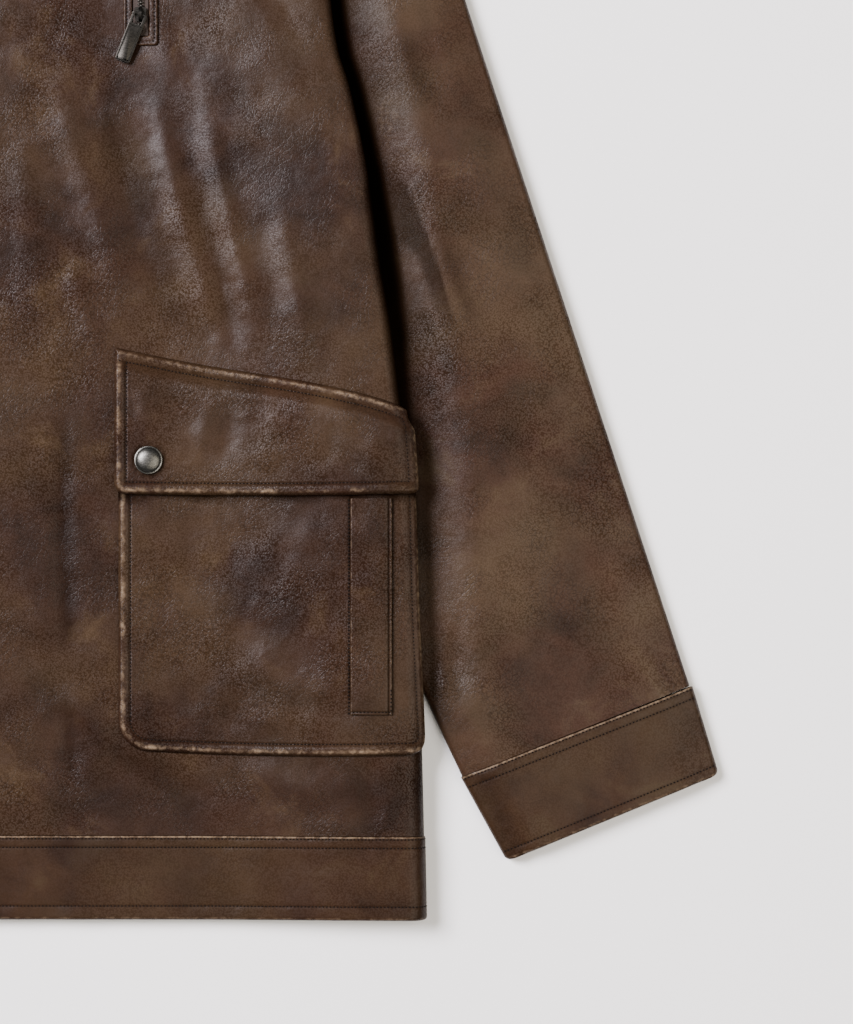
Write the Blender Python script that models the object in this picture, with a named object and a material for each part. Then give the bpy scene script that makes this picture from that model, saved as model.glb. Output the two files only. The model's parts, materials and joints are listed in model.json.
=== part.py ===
# A worn leather coat laid flat on its back on a table or floor: left front over right with
# snaps, two patch pockets with slanted snapped flaps, an upright chest zip pocket, straight
# sleeves with turned cuffs, a stitched hem band and a plain stand collar.
# X runs to the wearer's left, Y from hem to collar, Z up. The sides of the body are puffed
# up and lie over the inner edge of each sleeve. All lengths are in metres.

from math import asin, atan, cos, exp, pi, radians, sin, sqrt

import bmesh
import bpy
from mathutils import Euler, Matrix, Vector

# Whole garment, laid flat
LENGTH = 0.7725
MIDDLE_Y = LENGTH / 2
WALL = 0.002
SEAM_GAP = 0.0003
HEM_DEPTH = 0.0505
SHOULDER_Y = 0.684
SHOULDER_HALF = 0.238
NECK_HALF = 0.088
NECK_SIDE_Y = 0.730
FRONT_NECK_Y = 0.652
BACK_NECK_Y = 0.716
ARMPIT_Y = 0.441

# Side of the body as seen from above, from hem to shoulder point: (y, x)
BODY_EDGE = [
    (0.000, 0.2855), (0.050, 0.2845), (0.110, 0.2830), (0.185, 0.2797), (0.250, 0.2768),
    (0.290, 0.2735), (0.310, 0.2706), (0.354, 0.2650), (0.393, 0.2585), (0.440, 0.2520),
    (0.461, 0.2484), (0.499, 0.2400), (0.523, 0.2328), (0.556, 0.2285), (0.600, 0.2275),
    (0.640, 0.2310), (0.684, 0.2380),
]

# Heights above the floor
FRONT_Z = 0.0105
SIDE_RISE = 0.0125
RISE_WIDTH = 0.135
SIDE_LIFT = 0.0078
ARM_SEAM_Z = 0.0072
SHOULDER_SEAM_Z = WALL + 0.0004
SIDE_WRAP = radians(115)
SHOULDER_ROUND = 0.006
ARMHOLE_ROUND = 0.0055

# Long folds of each front, from the pocket up to the chest: (y, x) along the crest, then
# the height, the lower and upper end and the half width
FOLDS = [
    ([(0.05, 0.108), (0.35, 0.106), (0.42, 0.090), (0.50, 0.067), (0.684, 0.088)],
     0.0022, 0.36, 0.52, 0.008),
    ([(0.05, 0.162), (0.35, 0.159), (0.42, 0.1395), (0.50, 0.1245), (0.684, 0.125)],
     0.0032, 0.345, 0.515, 0.007),
    ([(0.05, 0.206), (0.35, 0.183), (0.42, 0.167), (0.50, 0.1535), (0.684, 0.162)],
     0.0030, 0.34, 0.515, 0.007),
    ([(0.05, 0.244), (0.35, 0.215), (0.42, 0.201), (0.50, 0.186), (0.684, 0.200)],
     0.0015, 0.33, 0.46, 0.009),
]

# Front opening
OVERLAP_LEFT = 0.018
OVERLAP_RIGHT = 0.015
UNDERLAP_DROP = 0.0028
PLACKET_WALL = 0.0014
SNAP_RADIUS = 0.0085
SNAP_HEIGHT = 0.0036
FRONT_SNAPS = 6
FIRST_SNAP_Y = 0.085
SNAP_PITCH = 0.107

# Sleeve: outer and inner folds as seen from above, (y, x)
SLEEVE_OUTER = [
    (0.6740, 0.2315), (0.6722, 0.2450), (0.6655, 0.2580), (0.6535, 0.2695),
    (0.6365, 0.2790), (0.6145, 0.2889), (0.5225, 0.3190), (0.3840, 0.3643),
    (0.2445, 0.4100), (0.1405, 0.4441),
]
SLEEVE_INNER = [
    (0.4470, 0.2451), (0.4360, 0.2450), (0.4200, 0.2425), (0.4000, 0.2325),
    (0.3700, 0.2245), (0.3300, 0.2225), (0.2900, 0.2245), (0.2620, 0.2300),
    (0.2000, 0.2550), (0.1386, 0.2826), (0.0858, 0.3072),
]
MOUTH_TUCK = 0.0057
SLEEVE_Z = 0.0135
SLEEVE_LOW_Z = 0.0069
CUFF_Z = 0.0115
CUFF_OUTER = [Vector((0.4459, 0.1402)), Vector((0.4618, 0.0872))]
CUFF_INNER = [Vector((0.3065, 0.0853)), Vector((0.3342, 0.0348))]
CUFF_STEP = 0.0009

# Patch pocket on the lower front, along the panel's surface
POCKET_LEFT = 0.1010
POCKET_BOTTOM = 0.0985
POCKET_SIDE_ANGLE = radians(69)
POCKET_CORNER_INNER = 0.018
POCKET_CORNER_OUTER = 0.012
BAG_WALL = 0.0019
LAY_GAP = 0.0005
SIDE_EASE = 0.0004
ROLL_WIDTH = 0.007
ROLL_HEIGHT = 0.0011
FLAP_LEFT = 0.0988
FLAP_BOTTOM = 0.2545
FLAP_WALL = 0.0020
FLAP_TOP = [(0.0988, 0.3435), (0.1488, 0.3336), (0.2172, 0.3222), (0.2580, 0.3126), (0.2860, 0.3015)]
FLAP_CORNER = 0.007
WELT_LEFT = 0.2405
WELT_RIGHT = 0.2655
WELT_BOTTOM = 0.1235
WELT_WALL = 0.0011
POCKET_SNAP = (0.1195, 0.2759)

# Hem band and collar
BAND_STEP = 0.0008
COLLAR_HEIGHT = 0.042
COLLAR_WALL = 0.0022
COLLAR_FOLD_X = 0.079

# Chest zip pocket
ZIP_X = 0.1146
ZIP_BOTTOM = 0.5300
ZIP_TOP = 0.6620
ZIP_SLOT_HALF = 0.0048
ZIP_WELT_HALF = 0.0105
ZIP_WELT_WALL = 0.0016
TAPE_WALL = 0.0014
SLIDER_Y = 0.5427
SLIDER_SIZE = (0.0074, 0.0084, 0.0022)
ARCH_SIZE = (0.0018, 0.0084, 0.0040)
TUNNEL_SIZE = (0.0062, 0.0028)
TAB_LENGTH = 0.0300
TAB_WIDTH = 0.0092
TAB_WALL = 0.0011
TAB_EYE = (0.0056, 0.0058)
TAB_LEAN = radians(22)
TAB_TIP_CLEARANCE = 0.0028


def smooth(t):
    t = min(max(t, 0.0), 1.0)
    return t * t * (3 - 2 * t)


def mix(a, b, t):
    return a + (b - a) * t


def through(points, at):
    """A smooth curve through hand-set (at, value) points, sorted either way."""
    if points[0][0] > points[-1][0]:
        points = points[::-1]
    last = len(points) - 2
    k = 0
    while k < last and at > points[k + 1][0]:
        k += 1
    (a0, v0), (a1, v1) = points[k], points[k + 1]

    def slope(i):
        lo, hi = max(i - 1, 0), min(i + 1, len(points) - 1)
        return (points[hi][1] - points[lo][1]) / (points[hi][0] - points[lo][0])

    span = a1 - a0
    t = min(max((at - a0) / span, 0.0), 1.0)
    m0, m1 = slope(k) * span, slope(k + 1) * span
    t2, t3 = t * t, t * t * t
    return (2 * t3 - 3 * t2 + 1) * v0 + (t3 - 2 * t2 + t) * m0 + (3 * t2 - 2 * t3) * v1 + (t3 - t2) * m1


def edge_x(y):
    return through(BODY_EDGE, y)


def front_neck_y(x):
    return mix(FRONT_NECK_Y, NECK_SIDE_Y, min(abs(x) / NECK_HALF, 1.0) ** 2.2)


def back_neck_y(x):
    return mix(BACK_NECK_Y, NECK_SIDE_Y, min(abs(x) / NECK_HALF, 1.0) ** 2)


def shoulder_y(x):
    return mix(NECK_SIDE_Y, SHOULDER_Y, (abs(x) - NECK_HALF) / (SHOULDER_HALF - NECK_HALF))


def arm_zone(y):
    """0 along the side seam, 1 along the armhole."""
    return smooth((y - ARMPIT_Y + 0.006) / 0.012)


def fold_relief(x, y):
    total = 0.0
    for crest, height, low, high, half in FOLDS:
        along = smooth((y - low) / 0.04) * (1 - smooth((y - high + 0.06) / 0.06))
        if along > 0:
            off = (x - through(crest, y)) / half
            total += height * along * exp(-off * off / 2)
    return total


def front_height(x, y, under=False):
    """Height of the front's outer face. The right front dips at its edge, under the left."""
    x_in = min(abs(x), edge_x(y))
    rise = smooth((x_in - edge_x(y) + RISE_WIDTH + 0.012) / RISE_WIDTH)
    puff = mix(0.68, 1.0, smooth(y / 0.16)) * mix(1.0, 0.30, smooth((y - 0.49) / 0.17))
    z = FRONT_Z + SIDE_RISE * rise * puff + fold_relief(x_in, y)
    if under:
        z -= UNDERLAP_DROP * (1 - smooth((x - 0.022) / 0.014))
    return z


def side_low(y):
    return SIDE_LIFT * smooth((y - 0.060) / 0.105)


def side_radius(y):
    """Radius of the body's rounded side."""
    if y > ARMPIT_Y + 0.01:
        return mix(ARMHOLE_ROUND, 0.004, smooth((y - 0.56) / 0.10))
    edge = edge_x(y)
    whole = (front_height(edge - 0.010, y) - side_low(y)) / 2
    return mix(whole, ARMHOLE_ROUND, arm_zone(y))


def side_point(y, turn, out):
    """x and z on the rounded side, moved out by a distance. turn is 0 at the top."""
    edge, radius = edge_x(y), side_radius(y)
    crown = front_height(edge - radius, y)
    angle = turn * SIDE_WRAP
    x = edge - radius + (radius + out) * sin(angle)
    z = crown - radius + (radius + out) * cos(angle)
    arm = arm_zone(y)
    if arm > 0:
        if turn < 0.6:
            quarter = turn / 0.6 * pi / 2
            arm_x = edge - radius + (radius + out) * sin(quarter)
            arm_z = crown - radius + (radius + out) * cos(quarter)
        else:
            arm_x = edge + out
            arm_z = mix(crown - radius, ARM_SEAM_Z, (turn - 0.6) / 0.4)
        x, z = mix(x, arm_x, arm), mix(z, arm_z, arm)
    return x, z


def panel_point(along, y, out):
    """A point of the left front's face at a distance along the cloth from the centre."""
    radius = side_radius(y)
    flat_end = edge_x(y) - radius
    if along <= flat_end:
        return Vector((along, y, front_height(along, y) + out))
    x, z = side_point(y, (along - flat_end) / radius / SIDE_WRAP, out)
    return Vector((x, y, z))


def leather(name, colour, roughness=0.55, metallic=0.0):
    material = bpy.data.materials.get(name)
    if material is None:
        material = bpy.data.materials.new(name)
        material.use_nodes = True
        shader = material.node_tree.nodes["Principled BSDF"]
        shader.inputs["Base Color"].default_value = (*colour, 1)
        shader.inputs["Roughness"].default_value = roughness
        shader.inputs["Metallic"].default_value = metallic
    return material


def add_object(name, mesh, material):
    obj = bpy.data.objects.new(name, mesh)
    obj.data.materials.append(material)
    bpy.context.scene.collection.objects.link(obj)
    return obj


def add_wall(name, outer, inner, material, ring=False, mirrored=False):
    """A closed wall between two layers of points, given as rows of equal length. A ring's
    rows are closed loops; any other wall has an edge all round."""
    side = -1 if mirrored else 1
    bm = bmesh.new()
    layers = []
    for layer in (outer, inner):
        layers.append([[bm.verts.new((side * p.x, p.y - MIDDLE_Y, p.z)) for p in row] for row in layer])
    rows, cols = len(outer), len(outer[0])
    steps = cols if ring else cols - 1
    for grid in layers:
        for r in range(rows - 1):
            for c in range(steps):
                d = (c + 1) % cols
                bm.faces.new((grid[r][c], grid[r][d], grid[r + 1][d], grid[r + 1][c]))
    upper, lower = layers
    for r in (0, rows - 1):
        for c in range(steps):
            d = (c + 1) % cols
            bm.faces.new((upper[r][c], upper[r][d], lower[r][d], lower[r][c]))
    if not ring:
        for c in (0, cols - 1):
            for r in range(rows - 1):
                bm.faces.new((upper[r][c], upper[r + 1][c], lower[r + 1][c], lower[r][c]))
    bmesh.ops.recalc_face_normals(bm, faces=bm.faces)
    mesh = bpy.data.meshes.new(name)
    bm.to_mesh(mesh)
    bm.free()
    mesh.shade_smooth()
    mesh.set_sharp_from_angle(angle=radians(50))
    return add_object(name, mesh, material)


# Fronts

BODY_ROWS = [
    HEM_DEPTH + SEAM_GAP, 0.080, 0.105, 0.130, 0.155, 0.190, 0.230, 0.270, 0.310, 0.345, 0.380,
    0.405, 0.420, 0.434, 0.448, 0.460, 0.500, 0.550, 0.600, 0.645,
]
SIDE_TURNS = [0.2, 0.4, 0.6, 0.8, 1.0]
SHOULDER_TURNS = [0.35, 0.7, 1.0]


def front_columns(y, start):
    """Places across a front, along its folds, up to the start of the rounded side."""
    first, second, third, fourth = [through(fold[0], y) for fold in FOLDS]
    end = edge_x(y) - side_radius(y)
    return [
        start, 0.020, 0.040, mix(0.040, first - 0.009, 0.55), first - 0.009, first,
        mix(first, second, 0.5), second, mix(second, third, 0.5), third,
        mix(third, fourth, 0.5), fourth, mix(fourth, end, 0.5), end,
    ]


def front_layer(start, under, out):
    top_places = front_columns(SHOULDER_Y, start)
    sides = [(None, turn) for turn in SIDE_TURNS]
    stations = [(k, 0.0) for k in range(len(top_places))] + sides
    rows = []
    for y_side in BODY_ROWS:
        places = front_columns(y_side, start)
        bend = smooth((y_side - 0.50) / (SHOULDER_Y - 0.50))
        row = []
        for k, turn in stations:
            if k is None:
                x, z = side_point(y_side, turn, out)
                row.append(Vector((x, y_side, z)))
                continue
            top_x = top_places[k]
            top_y = front_neck_y(top_x) if top_x < NECK_HALF - 1e-6 else shoulder_y(top_x)
            y = y_side + (top_y - SHOULDER_Y) * bend
            row.append(Vector((places[k], y, front_height(places[k], y, under) + out)))
        rows.append(row)
    for turn in [0.0] + SHOULDER_TURNS:
        rows.append(shoulder_row(stations, top_places, under, turn, out))
    return rows


def shoulder_row(stations, top_places, under, turn, out):
    """A row of the front where it rolls over the shoulder line and down to the back."""
    row = []
    for k, side_turn in stations:
        if k is None:
            x, z = side_point(SHOULDER_Y, side_turn, out)
            top_y, rolls = SHOULDER_Y, 1.0
        else:
            x = top_places[k]
            neck = x < NECK_HALF - 1e-6
            top_y = front_neck_y(x) if neck else shoulder_y(x)
            rolls = 0.0 if neck else 1.0
            z = front_height(x, top_y, under) + out
        y = top_y - SHOULDER_ROUND + (SHOULDER_ROUND + out * rolls) * min(sin(turn * pi / 2) * 1.12, 1.0)
        if not rolls:
            y = top_y - SHOULDER_ROUND * (1 - turn)
        drop = rolls * (1 - sqrt(max(1 - turn * turn, 0.0)))
        row.append(Vector((x, y, mix(z, SHOULDER_SEAM_Z, drop))))
    return row


def add_front(name, start, under, material):
    outer = front_layer(start, under, 0.0)
    inner = front_layer(start, under, -WALL)
    add_wall(name, outer, inner, material, mirrored=under)


# Back

def sleeve_inner_x(y):
    return through(SLEEVE_INNER, y)


def back_half_row(y_side, out):
    """Half a row of the back, from the centre to the side. Its face is underneath."""
    edge, radius = edge_x(y_side), side_radius(y_side)
    y_tuck = min(max(y_side, 0.10), 0.447)
    rise_start = min(sleeve_inner_x(y_tuck), edge_x(y_tuck) - 0.012) - 0.018 - (edge_x(y_tuck) - edge)
    lift = side_low(y_side) * (1 - smooth((y_side - 0.4475) / 0.0125))
    bend = smooth((y_side - 0.50) / (SHOULDER_Y - 0.50))
    arm = smooth((y_side - 0.433) / 0.0145)
    end = mix(edge - radius, edge - MOUTH_TUCK - SEAM_GAP - 0.004, arm)
    places = [0, 0.028, 0.055, COLLAR_FOLD_X, NECK_HALF, mix(NECK_HALF, rise_start, 0.5), rise_start]
    risen = rise_start + 0.012
    places += [rise_start + 0.004, rise_start + 0.008, risen, mix(risen, end, 0.5), end]
    row = []
    for k, x in enumerate(places):
        top_x = x * (SHOULDER_HALF / edge) if bend else x
        neck_y = back_neck_y(top_x) if top_x < NECK_HALF - 1e-6 else shoulder_y(top_x)
        y = y_side + (neck_y - SHOULDER_Y) * bend
        row.append(Vector((x, y, lift * smooth((x - rise_start) / 0.012) + out)))
    crown = front_height(edge - radius, y_side)
    for turn in (0.25, 0.62, 1.0):
        angle = pi - turn * (pi - SIDE_WRAP - SEAM_GAP / radius)
        x = edge - radius + (radius - out) * sin(angle)
        z = crown - radius + (radius - out) * cos(angle)
        flat_x = mix(end, edge - MOUTH_TUCK - SEAM_GAP, turn)
        row.append(Vector((mix(x, flat_x, arm), y_side, mix(z, lift + out, arm))))
    return row


def back_layer(out):
    rows = []
    for y_side in BODY_ROWS + [SHOULDER_Y]:
        half = back_half_row(y_side, out)
        other = [Vector((-p.x, p.y, p.z)) for p in half[:0:-1]]
        rows.append(other + half)
    return rows


# Sleeves

def along_path(points, count=240):
    """Points at even steps along a smooth (y, x) line, with their distances."""
    high, low = points[0][0], points[-1][0]
    path = []
    for i in range(count + 1):
        y = mix(high, low, i / count)
        path.append(Vector((through(points, y), y)))
    distance = [0.0]
    for a, b in zip(path, path[1:]):
        distance.append(distance[-1] + (b - a).length)
    return path, distance


def at_fraction(path, t):
    points, distance = path
    target = t * distance[-1]
    k = 1
    while k < len(points) - 1 and distance[k] < target:
        k += 1
    span = distance[k] - distance[k - 1]
    return points[k - 1].lerp(points[k], min(max((target - distance[k - 1]) / span, 0.0), 1.0))


# Places along the sleeve's mouth, level with the rows of the body
MOUTH_ROWS = [0.645, 0.622, 0.600, 0.550, 0.524, 0.500, 0.480, 0.460]
MOUTH_STATIONS = [(SLEEVE_OUTER[0][0] - y) / (SLEEVE_OUTER[0][0] - SLEEVE_INNER[0][0]) for y in MOUTH_ROWS]
OUTER_PATH = along_path(SLEEVE_OUTER)
INNER_PATH = along_path(SLEEVE_INNER)


def sleeve_height(x, y, across, t):
    """Top of the sleeve. It is low beside and under the body and at its two folds."""
    beside = smooth((y - 0.095) / 0.06)
    clear = x - edge_x(y)
    middle = mix(SLEEVE_Z, CUFF_Z, smooth((t - 0.6) / 0.4))
    low = mix(0.0092, SLEEVE_LOW_Z, beside)
    z = mix(middle, low, beside * (1 - smooth((clear - 0.007) / 0.015)))
    outer_fold = (1 - smooth(across / 0.16)) * 0.0035
    inner_fold = (1 - smooth((1 - across) / 0.16)) * 0.0035 * (1 - beside)
    return max(z - outer_fold - inner_fold, SLEEVE_LOW_Z)


def edge_crossing(outer, inner, clear):
    """How far across a sleeve section the distance from the body's side falls to clear."""
    low, high = 0.0, 1.0
    for _ in range(30):
        middle = (low + high) / 2
        p = outer.lerp(inner, middle)
        if p.x - edge_x(p.y) > clear:
            low = middle
        else:
            high = middle
    return (low + high) / 2


def sleeve_section(t, inset):
    outer, inner = at_fraction(OUTER_PATH, t), at_fraction(INNER_PATH, t)
    fit = smooth(t / 0.12) * (1 - smooth((t - 0.70) / 0.12))
    near = [edge_crossing(outer, inner, clear) for clear in (0.022, 0.014, 0.008, 0.002)]
    fitted = [near[0] * f for f in (0.18, 0.36, 0.56, 0.78)] + near
    stations = [mix(even, f, fit) for even, f in zip(MOUTH_STATIONS, fitted)]
    return tube_section(outer, inner, stations, t, inset, sleeve_height)


def tube_section(outer, inner, stations, t, inset, height):
    """A closed loop round a flattened sleeve: outer fold, top, inner fold, underside."""
    chord = (inner - outer).normalized()
    width = (inner - outer).length

    def place(distance):
        f = distance / width
        p = outer + chord * distance
        if t < 0.2 and height is sleeve_height:
            mouth = edge_x(p.y) - MOUTH_TUCK
            p.x += (mouth - p.x) * (1 - t / 0.2) ** 6
        return p, f

    def fold(end, sign):
        inside, f = place(end + sign * 0.0045)
        half = height(inside.x, inside.y, f, t) / 2
        loop = []
        for angle in (-90, -45, 0, 45, 90):
            p, _ = place(end + sign * (half - (half - inset) * cos(radians(angle))))
            loop.append(Vector((p.x, p.y, half + (half - inset) * sin(radians(angle)))))
        return loop

    loop = fold(0.0, 1)
    for f in stations:
        p, across = place(width * f)
        loop.append(Vector((p.x, p.y, height(p.x, p.y, across, t) - inset)))
    loop += fold(width, -1)[::-1]
    for f in [MOUTH_STATIONS[k] for k in (7, 5, 3, 2, 0)]:
        p, _ = place(width * f)
        loop.append(Vector((p.x, p.y, inset)))
    return loop


SLEEVE_RINGS = [0, 0.015, 0.026, 0.038, 0.055, 0.08, 0.12, 0.17, 0.23, 0.30, 0.38, 0.48, 0.60, 0.73, 0.86, 1.0]


def add_sleeve(name, material, mirrored):
    outer = [sleeve_section(t, 0.0) for t in SLEEVE_RINGS]
    inner = [sleeve_section(t, WALL) for t in SLEEVE_RINGS]
    add_wall(name, outer, inner, material, ring=True, mirrored=mirrored)


def cuff_height(x, y, across, t):
    outer_fold = (1 - smooth(across / 0.16)) * 0.0035
    inner_fold = (1 - smooth((1 - across) / 0.16)) * 0.0035
    return CUFF_Z + CUFF_STEP - 0.001 * t - outer_fold - inner_fold


def add_cuff(name, material, mirrored):
    layers = []
    for inset in (0.0, WALL + CUFF_STEP):
        rows = []
        for t, narrow in ((0, 0), (0.35, 0), (0.93, 0), (1, 0.0012)):
            outer = CUFF_OUTER[0].lerp(CUFF_OUTER[1], t)
            inner = CUFF_INNER[0].lerp(CUFF_INNER[1], t)
            chord = (inner - outer).normalized()
            stations = (0.16, 0.28, 0.42, 0.56, 0.70, 0.84)
            ends = outer + chord * narrow, inner - chord * narrow
            rows.append(tube_section(*ends, stations, t, inset, cuff_height))
        layers.append(rows)
    add_wall(name, *layers, material, ring=True, mirrored=mirrored)


# Hem band

HEM_ROWS = [0.0, 0.003, HEM_DEPTH]
EDGE_THIN = 0.2  # share of a layer's offset that is lost or kept at the band's folded edge


def add_hem_front(name, start, under, material):
    layers = []
    for out in (BAND_STEP, -WALL):
        rows = []
        for y in HEM_ROWS:
            step = out
            if y == 0:
                step = out * (EDGE_THIN if out > 0 else 1 - EDGE_THIN)
            row = [Vector((x, y, front_height(x, y, under) + step)) for x in front_columns(y, start)]
            row += [Vector((x, y, z)) for x, z in (side_point(y, turn, step) for turn in SIDE_TURNS)]
            rows.append(row)
        layers.append(rows)
    add_wall(name, *layers, material, mirrored=under)


def add_hem_back(material):
    layers = []
    for out in (0.0, WALL):
        rows = []
        for y in HEM_ROWS:
            half = back_half_row(y, out)
            rows.append([Vector((-p.x, p.y, p.z)) for p in half[:0:-1]] + half)
        layers.append(rows)
    add_wall("hem_back", *layers, material)


# Collar

def collar_loop(level, inset):
    """The stand collar at a height above the neck seam, from its left end round the back."""
    lean = 1 - 0.10 * level
    rise = COLLAR_HEIGHT * level + 2 * SEAM_GAP
    front_places = (0.020, 0.040, mix(0.040, COLLAR_FOLD_X, 0.55), COLLAR_FOLD_X)
    depth = FRONT_Z - 0.001 * level
    fold = NECK_HALF - COLLAR_FOLD_X

    def front_part(start, under):
        part = []
        for x in (start, *front_places):
            drop = UNDERLAP_DROP * (1 - smooth((x - 0.022) / 0.014)) if under else 0
            y = front_neck_y(x) + rise
            part.append(Vector((x * lean, y, depth - drop - inset)))
        for angle in (45, 90, 135, 180):
            s, c = sin(radians(angle)), cos(radians(angle))
            x = COLLAR_FOLD_X + (fold - inset) * s
            y = (front_neck_y(x) if angle < 90 else back_neck_y(x)) + rise
            if angle == 90:
                y = NECK_SIDE_Y + rise
            part.append(Vector((x * lean, y, depth / 2 + (depth / 2 - inset) * c)))
        return part

    loop = front_part(-OVERLAP_LEFT, False)
    for x in (0.055, 0.028, 0, -0.028, -0.055):
        loop.append(Vector((x * lean, back_neck_y(x) + rise, inset)))
    loop += [Vector((-p.x, p.y, p.z)) for p in reversed(front_part(-OVERLAP_RIGHT, True))]
    return loop


def add_collar(material):
    layers = [[collar_loop(level, inset) for level in (0, 0.35, 0.92, 1)] for inset in (0.0, COLLAR_WALL)]
    add_wall("collar", *layers, material)


# Front strip and snaps

def add_placket(material):
    layers = []
    for out in (LAY_GAP + PLACKET_WALL, LAY_GAP):
        rows = []
        for k in range(13):
            y = mix(HEM_DEPTH + 0.001, FRONT_NECK_Y - 0.001, k / 12)
            row = [Vector((x, y, front_height(x, y) + out)) for x in (-0.0178, -0.0165, 0, 0.0165, 0.0178)]
            rows.append(row)
        layers.append(rows)
    add_wall("placket", *layers, material)


def snap_mesh():
    """A domed snap cap, turned round Z from its rim to its crown."""
    bm = bmesh.new()
    r, h = SNAP_RADIUS, SNAP_HEIGHT
    profile = [(0, 0), (r * 0.97, 0), (r, h * 0.22), (r * 0.90, h * 0.60), (r * 0.62, h * 0.88), (0, h)]
    verts = [bm.verts.new((x, 0, z)) for x, z in profile]
    edges = [bm.edges.new(pair) for pair in zip(verts, verts[1:])]
    bmesh.ops.spin(
        bm, geom=verts + edges, cent=(0, 0, 0), axis=(0, 0, 1), angle=2 * pi, steps=14, use_merge=True
    )
    bmesh.ops.remove_doubles(bm, verts=bm.verts, dist=0.00005)
    bmesh.ops.recalc_face_normals(bm, faces=bm.faces)
    mesh = bpy.data.meshes.new("snap_cap")
    bm.to_mesh(mesh)
    bm.free()
    mesh.shade_smooth()
    mesh.set_sharp_from_angle(angle=radians(50))
    return mesh


# Patch pockets

def side_ease(along, y):
    """Extra clearance of what lies on the panel towards its rounded side."""
    flat_end = edge_x(y) - side_radius(y)
    return SIDE_EASE * smooth((along - flat_end + 0.025) / 0.025)


def pocket_side(y):
    radius = side_radius(y)
    return edge_x(y) - radius + POCKET_SIDE_ANGLE * radius


def corner_inset(above, radius):
    """How far a rounded lower corner pulls an edge in, at a height above the bottom."""
    if above >= radius:
        return 0.0
    return radius - sqrt(radius * radius - (radius - above) ** 2)


def roll(distance):
    """Height of the rolled, stitched edge at a distance in from it."""
    if distance >= ROLL_WIDTH:
        return 0.0
    return ROLL_HEIGHT * min(sin(pi * distance / ROLL_WIDTH) * 1.3, 1.0)


def pocket_places(left, y, inset_left, inset_right):
    """Places across the pocket along the cloth: rolled edges, middle and rounded side."""
    flat_end = edge_x(y) - side_radius(y)
    side = pocket_side(y)
    arc = side - flat_end
    start = left + inset_left
    across = flat_end - start
    places = [start, start + 0.0035, start + ROLL_WIDTH]
    places += [start + ROLL_WIDTH + (across - ROLL_WIDTH) * f for f in (0.17, 0.35, 0.53, 0.69, 0.81, 0.91, 1.0)]
    places += [flat_end + arc / 3, flat_end + arc * 2 / 3, side]
    if inset_right:
        scale = (side - inset_right - start) / (side - start)
        places = [start + (p - start) * scale for p in places]
    return places


def add_bag(name, material, mirrored):
    heights = [0, 0.0035, ROLL_WIDTH, 0.012, 0.019, 0.045, 0.075, 0.105, 0.135, 0.156]
    layers = []
    for base, rolled in ((LAY_GAP + BAG_WALL, True), (LAY_GAP, False)):
        rows = []
        for above in heights:
            row = []
            y_mid = POCKET_BOTTOM + above
            places = pocket_places(
                POCKET_LEFT, y_mid, corner_inset(above, POCKET_CORNER_INNER), corner_inset(above, POCKET_CORNER_OUTER)
            )
            for k, along in enumerate(places):
                bow = 0.0035 * ((along - 0.215) / 0.11) ** 2 * (1 - above / 0.156)
                upper_rise = flap_top_y(along) - 0.013 - POCKET_BOTTOM - 0.156
                top_slant = upper_rise * smooth((above - 0.075) / 0.081)
                y = y_mid + bow + top_slant
                lift = 0.0
                if rolled:
                    lift = roll(min(along - places[0], places[-1] - along, above))
                row.append(panel_point(along, y, base + lift + side_ease(along, y)))
            rows.append(row)
        layers.append(rows)
    add_wall(name, *layers, material, mirrored=mirrored)


def flap_top_y(along):
    return through(FLAP_TOP, along)


def add_flap(name, material, mirrored):
    """The flap lies on the bag and comes down to the front along its sewn upper edge."""
    below_top = [0.0, 0.0025, ROLL_WIDTH, 0.0145]
    heights = [0, 0.0018, 0.0035, ROLL_WIDTH, 0.020]
    layers = []
    for is_top in (True, False):
        rows = []
        for h in heights:
            rows.append(flap_row(h, None, is_top))
        rows.append(flap_row(None, 0.028, is_top))
        for d in reversed(below_top):
            rows.append(flap_row(None, d, is_top))
        layers.append(rows)
    add_wall(name, *layers, material, mirrored=mirrored)


def flap_row(above, below, is_top):
    inset = corner_inset(above, FLAP_CORNER) if above is not None else 0.0
    y_mid = FLAP_BOTTOM + above if above is not None else 0.32 - below
    places = pocket_places(FLAP_LEFT, min(y_mid, 0.31), inset, inset * 0.5)
    row = []
    for along in places:
        top, bottom = flap_top_y(along), FLAP_BOTTOM + 0.0012 * (abs(along - 0.185) / 0.09) ** 2
        y = bottom + above if above is not None else top - below
        on_bag = smooth((top - y - 0.005) / 0.0095)
        under = mix(LAY_GAP, 2 * LAY_GAP + BAG_WALL + ROLL_HEIGHT + 0.0002, on_bag) + side_ease(along, y)
        if not is_top:
            row.append(panel_point(along, y, under))
            continue
        lift = roll(min(along - places[0], places[-1] - along, y - bottom, top - y))
        row.append(panel_point(along, y, under + FLAP_WALL + lift))
    return row


def add_welt(name, material, mirrored):
    """The upright strip of the side entry lies on the bag, from its foot up to the flap."""
    layers = []
    for out in (2 * LAY_GAP + BAG_WALL + WELT_WALL, 2 * LAY_GAP + BAG_WALL):
        rows = []
        for k in range(6):
            y = mix(WELT_BOTTOM, FLAP_BOTTOM - 0.0016, k / 5)
            edge = edge_x(y) - side_radius(y)
            right = min(WELT_RIGHT, edge - 0.001)
            places = [mix(WELT_LEFT, right, f) for f in (0, 0.2, 0.5, 0.8, 1)]
            row = [panel_point(along, y, out + side_ease(along, y)) for along in places]
            rows.append(row)
        layers.append(rows)
    add_wall(name, *layers, material, mirrored=mirrored)


# Chest zip pocket

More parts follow.
